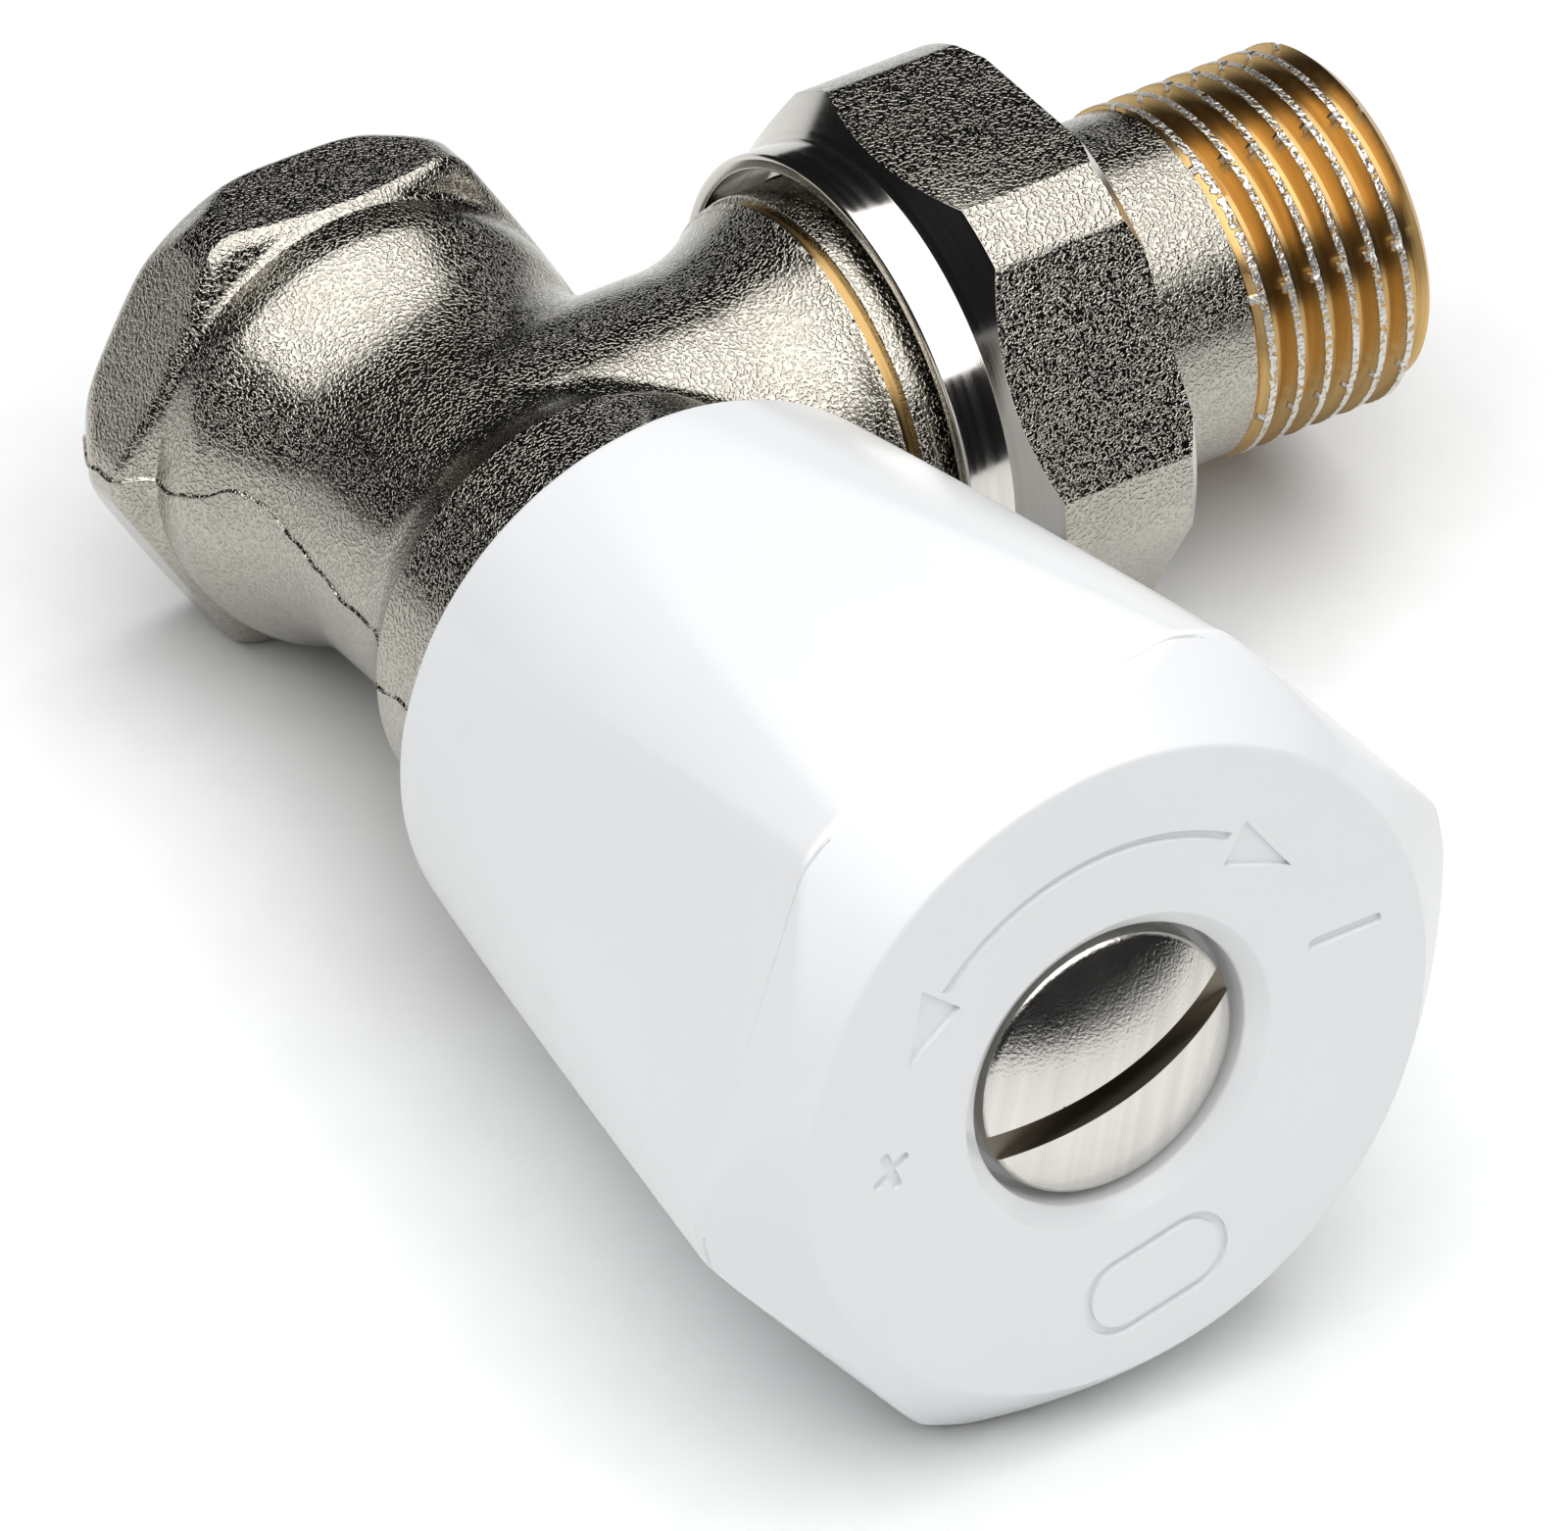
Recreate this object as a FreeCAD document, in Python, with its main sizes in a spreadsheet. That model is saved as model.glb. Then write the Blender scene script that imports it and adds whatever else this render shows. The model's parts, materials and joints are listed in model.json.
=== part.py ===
import FreeCAD, Part
import math
import os

import Sketcher
from FreeCAD import Vector

# Angle-pattern manual radiator valve, half-inch size.
# The spindle axis runs along Y (wheel towards -Y, inlet towards +Y) and the outlet branch along X.
# Each piece is drawn about the crossing of the two axes and then set back, so that
# the origin of the assembly lies on the inlet axis where the inlet thread begins.

FULL_TURN = 360
HEX_SIDES = 6
THREAD_RINGS = 6
HALF_TURN = 180
HALF_HEX_SIDE = 30
ON_AXIS = 1e-9
ON_FACE = 1e-3

# Driving sizes: name, value (millimetres, or degrees where it says so), meaning
SIZES = [
    # Valve body, along the spindle axis
    ("inlet_reach", 21.5, "axes crossing to the inlet face"),
    ("socket_flats", 26.0, "inlet hexagon across flats"),
    ("socket_corner", 5.0, "rounding of the inlet hexagon's corners"),
    ("socket_length", 6.8, "length of the inlet hexagon"),
    ("socket_edge", 0.7, "rounding of the inlet face's outer edge"),
    ("barrel_lip", 12.5, "radius where the barrel rises from the hexagon"),
    ("barrel_lip_reach", 17.3, "axes crossing to that place"),
    ("barrel_radius", 13.6, "largest barrel radius"),
    ("barrel_shoulder", 14.7, "axes crossing to the barrel's shoulder"),
    ("barrel_blend", 6.0, "convex radius from barrel towards waist"),
    ("waist_radius", 10.6, "narrow waist between barrel and collar"),
    ("waist_blend", 8.0, "concave radius from barrel into waist"),
    ("waist_back", 1.0, "axes crossing to the waist's inlet end"),
    ("waist_front", 2.5, "axes crossing to the waist's wheel end"),
    ("collar_flare", 8.4, "concave radius from waist to bonnet collar"),
    ("collar_radius", 13.2, "bonnet collar radius"),
    ("collar_reach", 18.5, "axes crossing to the bonnet seat face"),
    ("collar_chamfer", 0.5, "chamfer on the collar's front edge"),
    # Valve body, along the branch
    ("neck_radius", 10.7, "branch neck radius"),
    ("neck_flare", 9.0, "concave radius from neck to branch end"),
    ("branch_radius", 12.8, "radius of the branch end"),
    ("branch_reach", 18.8, "axes crossing to the turned ring"),
    ("ring_width", 1.3, "width of the turned ring"),
    ("ring_depth", 0.3, "depth of the turned ring"),
    ("spigot_radius", 12.9, "outer radius of the union thread"),
    ("spigot_reach", 29.0, "axes crossing to the spigot's end face"),
    ("spigot_chamfer", 0.8, "chamfer on the spigot's end"),
    # Valve body, bores
    ("inlet_thread", 9.316, "inlet thread radius at its crests"),
    ("inlet_depth", 11.0, "inlet face to the thread's bottom"),
    ("inlet_chamfer", 1.2, "chamfer at the inlet mouth"),
    ("port_radius", 5.5, "seat port radius"),
    ("seat_reach", 7.2, "axes crossing to the seat face"),
    ("seat_width", 1.6, "width of the raised seat"),
    ("seat_height", 1.0, "height of the raised seat"),
    ("chamber_radius", 8.6, "valve chamber radius"),
    ("bonnet_thread", 10.0, "bonnet thread radius in the body"),
    ("bonnet_depth", 6.5, "bonnet seat face to the chamber"),
    ("passage_radius", 6.6, "outlet passage radius"),
    ("nose_bore", 9.2, "bore that takes the tail's nose"),
    ("nose_depth", 4.6, "depth of that bore"),
    # Union nut and tail
    ("nut_flats", 31.0, "union nut across flats"),
    ("nut_corner", 16.9, "radius that the nut's corners are turned to"),
    ("nut_start", 20.9, "axes crossing to the nut's collar rim"),
    ("nut_collar", 14.8, "nut collar radius"),
    ("nut_collar_length", 2.8, "nut collar length"),
    ("nut_chamfer_length", 1.9, "length of the cone between collar and hexagon"),
    ("nut_end", 34.6, "axes crossing to the nut's end face"),
    ("nut_bevel", 0.7, "bevel at the nut's end"),
    ("nut_rim", 0.9, "wall of the nut's collar at its rim"),
    ("nut_rim_depth", 2.1, "depth of the collar's counterbore"),
    ("nut_turn", 57.7, "angle of a nut corner, degrees"),
    ("union_gap", 0.1, "radial gap in the union thread"),
    ("tail_flange", 12.7, "tail flange radius"),
    ("tail_flange_length", 2.9, "tail flange thickness"),
    ("tail_shank", 10.2, "plain tail shank radius"),
    ("tail_gap", 0.5, "radial gap between nut and tail shank"),
    ("tail_thread", 10.45, "tail thread radius"),
    ("tail_thread_start", 42.6, "axes crossing to the thread's run-out"),
    ("tail_reach", 54.4, "axes crossing to the tail's end"),
    ("tail_chamfer", 0.8, "chamfer at the tail's end"),
    ("thread_pitch", 1.814, "pitch of the half-inch pipe thread"),
    ("thread_depth", 0.95, "depth of the tail's thread"),
    ("thread_root", 0.4, "width of the thread groove's floor"),
    ("thread_lean", 0.52, "sideways run of a thread flank for each unit of height"),
    ("thread_over", 0.2, "how far the thread's cutter stands out over the crests"),
    ("tail_bore", 6.5, "tail bore radius"),
    ("nose_gap", 0.1, "radial gap round the tail's nose"),
    ("nose_length", 4.2, "length of the tail's nose"),
    ("tail_ring_section", 1.4, "tail seal ring section"),
    ("lug_width", 2.6, "width of the tail's two driving lugs"),
    ("lug_height", 1.1, "height of the driving lugs"),
    ("lug_start", 37.0, "axes crossing to the lugs"),
    ("lug_length", 12.0, "length of the lugs"),
    # Bonnet and gland
    ("thread_gap", 0.05, "radial gap in screwed joints"),
    ("bonnet_flats", 23.0, "bonnet flange across flats"),
    ("bonnet_flange", 4.5, "bonnet flange thickness"),
    ("bonnet_spigot", 6.3, "length of the bonnet's thread"),
    ("bonnet_neck", 8.8, "bonnet neck radius"),
    ("bonnet_reach", 33.0, "axes crossing to the bonnet's top"),
    ("bonnet_ring_section", 1.6, "bonnet seal ring section"),
    ("seal_gap", 0.05, "gap round a seal ring in its groove"),
    ("box_depth", 7.0, "depth of the stuffing box"),
    ("stem_ring_section", 1.8, "spindle seal ring section"),
    ("gland_flats", 17.0, "gland nut across flats"),
    ("gland_head", 4.0, "gland nut head thickness"),
    ("gland_spacer", 1.2, "gland ring thickness"),
    # Spindle and disc
    ("spindle_thread", 5.9, "spindle thread radius"),
    ("spindle_gap", 0.1, "radial running gap of the spindle"),
    ("stem_radius", 4.5, "plain stem radius"),
    ("lift", 4.5, "travel of the disc from closed to open"),
    ("lift_spare", 0.3, "spare room above the full lift"),
    ("thread_top", 21.5, "axes crossing to the end of the bonnet's thread"),
    ("thread_start", 4.0, "axes crossing to the start of the spindle thread"),
    ("foot_radius", 4.2, "spindle foot radius"),
    ("foot_length", 2.0, "spindle foot thickness"),
    ("foot_reach", 0.5, "axes crossing to the foot's end"),
    ("foot_neck", 2.8, "spindle neck radius at the snap ring"),
    ("square_size", 6.2, "square drive across flats"),
    ("square_start", 43.0, "axes crossing to the square drive's shoulder"),
    ("square_length", 10.2, "length of the square drive"),
    ("square_gap", 0.05, "gap on each side of the square drive"),
    ("tapped_depth", 10.0, "depth of the tapped hole in the spindle"),
    ("holder_radius", 8.1, "disc holder radius"),
    ("holder_rim", 1.8, "height of the rim round the disc"),
    ("holder_plate", 3.2, "thickness of the holder's plate"),
    ("boss_radius", 6.0, "holder boss radius"),
    ("boss_reach", 3.2, "axes crossing to the boss's end"),
    ("foot_gap", 0.2, "play of the spindle foot in the holder"),
    ("snap_thickness", 0.7, "snap ring thickness"),
    ("snap_depth", 0.5, "depth of the snap ring's groove"),
    ("snap_opening", 50.0, "opening of the snap ring, degrees"),
    ("disc_thickness", 3.0, "rubber disc thickness"),
    ("disc_radius", 7.5, "rubber disc radius"),
    ("stud_radius", 1.95, "holder stud radius"),
    ("disc_washer_radius", 4.6, "washer radius on the disc"),
    ("disc_washer_thickness", 0.8, "washer thickness on the disc"),
    ("disc_nut_flats", 7.0, "disc nut across flats"),
    ("disc_nut_height", 2.0, "disc nut height"),
    ("stud_spare", 0.3, "stud length past the disc nut"),
    # Hand wheel and its screw
    ("wheel_rear", 17.0, "axes crossing to the wheel's rear rim"),
    ("wheel_rear_radius", 17.0, "radius of the wheel's rear rim"),
    ("wheel_ridge", 56.5, "axes crossing to the wheel's corner ridges"),
    ("wheel_ridge_radius", 23.6, "radius of the wheel's corner ridges"),
    ("wheel_flat_rear", 17.0, "axis to a flat at the rear rim"),
    ("wheel_flat_front", 21.2, "axis to a flat at the ridges"),
    ("wheel_front", 61.0, "axes crossing to the wheel's front face"),
    ("wheel_face_radius", 19.2, "radius of the front face"),
    ("wheel_brow", 16.0, "radius in section of the front's slope at the corners"),
    ("wheel_flat_round", 5.0, "radius in section that rounds a flat over to the face"),
    ("wheel_flat_touch", 0.14, "gap between a flat's rounding and the face's circle"),
    ("wheel_turn", 38.5, "angle of a wheel flat, degrees"),
    ("wheel_wall", 1.8, "wall of the skirt at the rear rim"),
    ("wheel_hollow_front", 17.4, "radius of the hollow at its front end"),
    ("wheel_front_wall", 5.0, "thickness of the front wall"),
    ("hub_radius", 7.5, "wheel hub radius"),
    ("rib_thickness", 1.6, "thickness of the ribs in the hollow"),
    ("rib_length", 9.0, "length of the ribs along the axis"),
    ("recess_radius", 9.5, "radius of the recess in the face"),
    ("recess_depth", 3.2, "depth of that recess"),
    ("screw_head", 7.7, "screw head radius"),
    ("screw_edge", 2.9, "height of the screw head's edge"),
    ("screw_dome", 1.3, "height of the screw head's dome"),
    ("screw_slot", 2.0, "width of the screw's slot"),
    ("screw_slot_depth", 2.2, "depth of the screw's slot"),
    ("screw_slot_turn", 19.0, "angle of the slot, degrees"),
    ("screw_shank", 1.95, "screw shank radius"),
    ("screw_length", 12.0, "screw shank length"),
    ("screw_hole_gap", 0.2, "radial gap of the screw in the wheel"),
]


class Size:
    """A length or angle: its value, and the sheet expression that gives it."""

    def __init__(self, value, text):
        self.value = value
        self.text = text

    def __add__(self, other):
        other = as_size(other)
        return Size(self.value + other.value, "(%s + %s)" % (self.text, other.text))

    def __sub__(self, other):
        other = as_size(other)
        return Size(self.value - other.value, "(%s - %s)" % (self.text, other.text))

    def __mul__(self, other):
        other = as_size(other)
        return Size(self.value * other.value, "(%s * %s)" % (self.text, other.text))

    def __truediv__(self, other):
        other = as_size(other)
        return Size(self.value / other.value, "(%s / %s)" % (self.text, other.text))

    def __neg__(self):
        return Size(-self.value, "(0 - %s)" % self.text)


def as_size(number):
    """Wrap a plain number, so that it mixes with sizes from the sheet."""
    if isinstance(number, Size):
        return number
    return Size(float(number), repr(float(number)))


def root(size):
    """Square root of a size."""
    return Size(math.sqrt(size.value), "sqrt(%s)" % size.text)


def leg(long_side, short_side):
    """Second short side of a right triangle."""
    return root(long_side * long_side - short_side * short_side)


doc = FreeCAD.newDocument("radiator_valve")
sheet = doc.addObject("Spreadsheet::Sheet", "Sizes")
S = {}
for row, (alias, number, meaning) in enumerate(SIZES, start=1):
    sheet.set("A%d" % row, alias)
    sheet.set("B%d" % row, str(number))
    sheet.set("C%d" % row, meaning)
    sheet.setAlias("B%d" % row, alias)
    S[alias] = Size(number, "Sizes." + alias)
doc.recompute()

# The assembly's origin, on the inlet axis where the inlet thread begins
ORIGIN_SHIFT = S["inlet_reach"] - S["inlet_chamfer"]
pieces = []


def place(piece, axis="vector(0; 1; 0)", angle=None):
    """Set a piece back to the assembly's origin, turned about an axis of its own."""
    turn_text = "0" if angle is None else angle.text
    text = "placement(vector(0; 0 - %s; 0); rotation(%s; %s))" % (ORIGIN_SHIFT.text, axis, turn_text)
    piece.setExpression("Placement", text)
    pieces.append(piece)


def new_body(label):
    """Start a piece as a body with its own label."""
    body = doc.addObject("PartDesign::Body", label)
    body.Label = label
    return body


def origin_plane(body, role):
    """The body's own origin plane with this role."""
    return next(item for item in body.Origin.OriginFeatures if item.Role == role)


def new_sketch(body, name, role, offset=None):
    """Sketch on an origin plane of the body, moved along the plane's normal."""
    sketch = body.newObject("Sketcher::SketchObject", name)
    sketch.AttachmentSupport = [(origin_plane(body, role), "")]
    sketch.MapMode = "FlatFace"
    if offset is not None:
        sketch.setExpression(".AttachmentOffset.Base.z", offset.text)
    return sketch


def bind(sketch, kind, geometry, end, size):
    """Fix one coordinate of a corner, on an axis where it is zero."""
    if size is None:
        axis = -2 if kind == "DistanceX" else -1
        sketch.addConstraint(Sketcher.Constraint("PointOnObject", geometry, end, axis))
        return
    size = as_size(size)
    constraint = Sketcher.Constraint(kind, -1, 1, geometry, end, size.value)
    index = sketch.addConstraint(constraint)
    sketch.setExpression("Constraints[%d]" % index, size.text)


def arc_between(start, end, radius):
    """Arc from start to end; a positive radius bulges to the right of the way there."""
    chord = end - start
    middle = (start + end) * 0.5
    right = Vector(chord.y, -chord.x, 0).normalize()
    half = chord.Length / 2
    rise = abs(radius) - math.sqrt(radius * radius - half * half)
    return Part.Arc(start, middle + right * math.copysign(rise, radius), end)


def outline(body, name, role, corners, offset=None):
    """Closed sketch through corners (u, v) or (u, v, radius of the arc that leaves the corner).

    A coordinate of None lies on the sketch's axis.
    """
    sketch = new_sketch(body, name, role, offset)
    spots = []
    for corner in corners:
        spots.append(Vector(*[0.0 if c is None else as_size(c).value for c in corner[:2]], 0))
    count = len(corners)
    starts = []
    for index, corner in enumerate(corners):
        here = spots[index]
        there = spots[(index + 1) % count]
        if len(corner) == 2:
            sketch.addGeometry(Part.LineSegment(here, there))
            starts.append(1)
            continue
        radius = as_size(corner[2])
        sketch.addGeometry(arc_between(here, there, radius.value))
        starts.append(1 if radius.value > 0 else 2)
    for index in range(count):
        after = (index + 1) % count
        joint = Sketcher.Constraint("Coincident", index, 3 - starts[index], after, starts[after])
        sketch.addConstraint(joint)
    for index, corner in enumerate(corners):
        bind(sketch, "DistanceX", index, starts[index], corner[0])
        bind(sketch, "DistanceY", index, starts[index], corner[1])
        if len(corner) == 3:
            radius = as_size(corner[2])
            bend = sketch.addConstraint(Sketcher.Constraint("Radius", index, abs(radius.value)))
            text = radius.text if radius.value > 0 else (-radius).text
            sketch.setExpression("Constraints[%d]" % bend, text)
    return sketch


def turned(body, name, sketch, axis="V_Axis", cut=False):
    """Revolve a sketch about one of its axes, as material or as a cut."""
    kind = "PartDesign::Groove" if cut else "PartDesign::Revolution"
    feature = body.newObject(kind, name)
    feature.Profile = sketch
    feature.ReferenceAxis = (sketch, [axis])
    feature.Angle = FULL_TURN
    return feature


def extruded(body, name, sketch, length, cut=False, reverse=False, both_ways=False):
    """Pad or pocket a sketch along its normal."""
    feature = body.newObject("PartDesign::Pocket" if cut else "PartDesign::Pad", name)
    feature.Profile = sketch
    feature.setExpression("Length", as_size(length).text)
    feature.Reversed = reverse
    if both_ways:
        feature.SideType = "Symmetric"
    return feature


def pattern_round(body, name, feature, sketch, axis, count):
    """Repeat a feature evenly about a sketch axis."""
    pattern = body.newObject("PartDesign::PolarPattern", name)
    pattern.Originals = [feature]
    pattern.Axis = (sketch, [axis])
    pattern.Angle = FULL_TURN
    pattern.Occurrences = count
    body.Tip = pattern
    return pattern


def hexagon(body, name, role, flats, offset=None, corner=None):
    """Hexagon sketch with a corner on its first axis, sharp or with rounded corners."""
    circle_radius = flats / math.sqrt(3)
    step = math.pi / 3
    corners = []
    for index in range(HEX_SIDES):
        spot = Vector(math.cos(index * step), math.sin(index * step), 0)
        if corner is None:
            corners.append((circle_radius * spot.x, circle_radius * spot.y))
            continue
        # The rounding starts and ends this far along the two sides
        cut = corner * math.tan(math.pi / HEX_SIDES)
        before = Vector(math.cos((index - 1) * step), math.sin((index - 1) * step), 0) - spot
        after = Vector(math.cos((index + 1) * step), math.sin((index + 1) * step), 0) - spot
        corners.append((circle_radius * spot.x + cut * before.x,
                        circle_radius * spot.y + cut * before.y, corner))
        corners.append((circle_radius * spot.x + cut * after.x,
                        circle_radius * spot.y + cut * after.y))
    corners = [tuple(None if abs(as_size(c).value) < ON_AXIS else c for c in spot) for spot in corners]
    return outline(body, name, role, corners, offset)


def rectangle(body, name, role, low_u, low_v, high_u, high_v, offset=None):
    """Rectangle sketch between two corners."""
    corners = [(low_u, low_v), (high_u, low_v), (high_u, high_v), (low_u, high_v)]
    return outline(body, name, role, corners, offset)


def circle(body, name, role, radius, offset=None):
    """Circle sketch about the body's axis."""
    sketch = new_sketch(body, name, role, offset)
    sketch.addGeometry(Part.Circle(Vector(0, 0, 0), Vector(0, 0, 1), radius.value))
    sketch.addConstraint(Sketcher.Constraint("Coincident", 0, 3, -1, 1))
    index = sketch.addConstraint(Sketcher.Constraint("Radius", 0, radius.value))
    sketch.setExpression("Constraints[%d]" % index, radius.text)
    return sketch


def turned_piece(label, corners, axis="V_Axis"):
    """A piece that is one plain turning; a V axis turning lies along Y, an H axis one along X."""
    body = new_body(label)
    turned(body, label + "_turning", outline(body, label + "_section", "XY_Plane", corners), axis)
    return body


def ring_section(inner, outer, low, high):
    """Rectangular section of a washer about Y."""
    return [(inner, low), (outer, low), (outer, high), (inner, high)]


def seal_ring(label, ring_radius, section, along_y=None, along_x=None):
    """A round seal ring about Y or X, as a torus."""
    ring = doc.addObject("Part::Torus", label)
    ring.Label = label
    ring.setExpression("Radius1", ring_radius.text)
    ring.setExpression("Radius2", (section / 2).text)
    if along_x is None:
        spot = "vector(0; %s - %s; 0)" % (along_y.text, ORIGIN_SHIFT.text)
        axis = "vector(1; 0; 0)"
    else:
        spot = "vector(%s; 0 - %s; 0)" % (along_x.text, ORIGIN_SHIFT.text)
        axis = "vector(0; 1; 0)"
    ring.setExpression("Placement", "placement(%s; rotation(%s; 90))" % (spot, axis))
    pieces.append(ring)
    return ring


def make_valve_body():
    """Forged body: barrel, hexagon socket and branch, then the bores."""
    body = new_body("valve_body")
    barrel = S["barrel_radius"]
    waist = S["waist_radius"]
    blend = S["waist_blend"] + S["barrel_blend"]
    # The S curve from waist to barrel: two arcs that turn by the same angle
    cosine = as_size(1) - (barrel - waist) / blend
    sine = root(as_size(1) - cosine * cosine)
    bend_radius = waist + S["waist_blend"] * (as_size(1) - cosine)
    bend_reach = S["waist_back"] + S["waist_blend"] * sine
    ball_reach = S["waist_back"] + blend * sine
    flare_rise = S["collar_flare"] - (S["collar_radius"] - waist)
    crease = S["waist_front"] + leg(S["collar_flare"], flare_rise)
    front = S["collar_reach"]
    chamfer = S["collar_chamfer"]
    turned(body, "barrel", outline(body, "barrel_section", "XY_Plane", [
        (None, -front),
        (S["collar_radius"] - chamfer, -front),
        (S["collar_radius"], chamfer - front),
        (S["collar_radius"], -crease, -S["collar_flare"]),
        (waist, -S["waist_front"]),
        (waist, S["waist_back"], -S["waist_blend"]),
        (bend_radius, bend_reach, S["barrel_blend"]),
        (barrel, ball_reach),
        (barrel, S["barrel_shoulder"]),
        (S["barrel_lip"], S["barrel_lip_reach"]),
        (None, S["barrel_lip_reach"]),
    ]))

    neck_start = S["branch_reach"] - leg(
        S["neck_flare"], S["neck_flare"] - (S["branch_radius"] - S["neck_radius"]))
    ring_bottom = S["branch_radius"] - S["ring_depth"]
    ring_end = S["branch_reach"] + S["ring_width"]
    end = S["spigot_reach"]
    turned(body, "branch", outline(body, "branch_section", "XY_Plane", [
        (None, None),
        (end, None),
        (end, S["spigot_radius"] - S["spigot_chamfer"]),
        (end - S["spigot_chamfer"], S["spigot_radius"]),
        (ring_end, S["spigot_radius"]),
        (ring_end, ring_bottom),
        (S["branch_reach"], ring_bottom),
        (S["branch_reach"], S["branch_radius"], -S["neck_flare"]),
        (neck_start, S["neck_radius"]),
        (None, S["neck_radius"]),
    ]), axis="H_Axis")

    socket = hexagon(body, "socket_section", "XZ_Plane", S["socket_flats"],
                     offset=-S["inlet_reach"], corner=S["socket_corner"])
    extruded(body, "socket", socket, S["socket_length"])
    doc.recompute()
    blend_edges(body, "socket_rounding", S["socket_edge"], is_inlet_edge)

    thread = S["inlet_thread"]
    mouth = S["inlet_reach"]
    seat_edge = S["port_radius"] + S["seat_width"]
    floor = S["seat_reach"] + S["seat_height"]
    turned(body, "spindle_bores", outline(body, "spindle_bore_section", "XY_Plane", [
        (None, -front),
        (S["bonnet_thread"], -front),
        (S["bonnet_thread"], S["bonnet_depth"] - front),
        (S["chamber_radius"], S["bonnet_depth"] - front),
        (S["chamber_radius"], floor),
        (seat_edge, floor),
        (seat_edge, S["seat_reach"]),
        (S["port_radius"], S["seat_reach"]),
        (S["port_radius"], mouth - S["inlet_depth"]),
        (thread, mouth - S["inlet_depth"]),
        (thread, mouth - S["inlet_chamfer"]),
        (thread + S["inlet_chamfer"], mouth),
        (None, mouth),
    ]), cut=True)
    turned(body, "branch_bores", outline(body, "branch_bore_section", "XY_Plane", [
        (None, None),
        (end, None),
        (end, S["nose_bore"]),
        (end - S["nose_depth"], S["nose_bore"]),
        (end - S["nose_depth"], S["passage_radius"]),
        (None, S["passage_radius"]),
    ]), axis="H_Axis", cut=True)
    place(body)


def is_inlet_edge(edge):
    """Outer edges of the inlet face."""
    box = edge.BoundBox
    return box.YMin > S["inlet_reach"].value - ON_FACE


def blend_edges(body, name, radius, wanted):
    """Fillet the edges of the body's last feature that the test picks."""
    base = body.Tip
    names = ["Edge%d" % (n + 1) for n, edge in enumerate(base.Shape.Edges) if wanted(edge)]
    feature = body.newObject("PartDesign::Fillet", name)
    feature.Base = (base, names)
    feature.setExpression("Radius", radius.text)
    doc.recompute()
    return feature


def cut_thread(body, crest, first):
    """Thread along X as rings a pitch apart, from the middle of its first groove."""
    half = S["thread_root"] / 2
    floor = crest - S["thread_depth"]
    top = crest + S["thread_over"]
    spread = half + (top - floor) * S["thread_lean"]
    section = outline(body, "thread_section", "XY_Plane", [
        (first - half, floor),
        (first + half, floor),
        (first + spread, top),
        (first - spread, top),
    ])
    groove = turned(body, "thread_groove", section, axis="H_Axis", cut=True)
    rings = body.newObject("PartDesign::LinearPattern", "thread_rings")
    rings.Originals = [groove]
    rings.Direction = (section, ["H_Axis"])
    rings.setExpression("Length", (S["thread_pitch"] * (THREAD_RINGS - 1)).text)
    rings.Occurrences = THREAD_RINGS
    body.Tip = rings
    return rings


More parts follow.
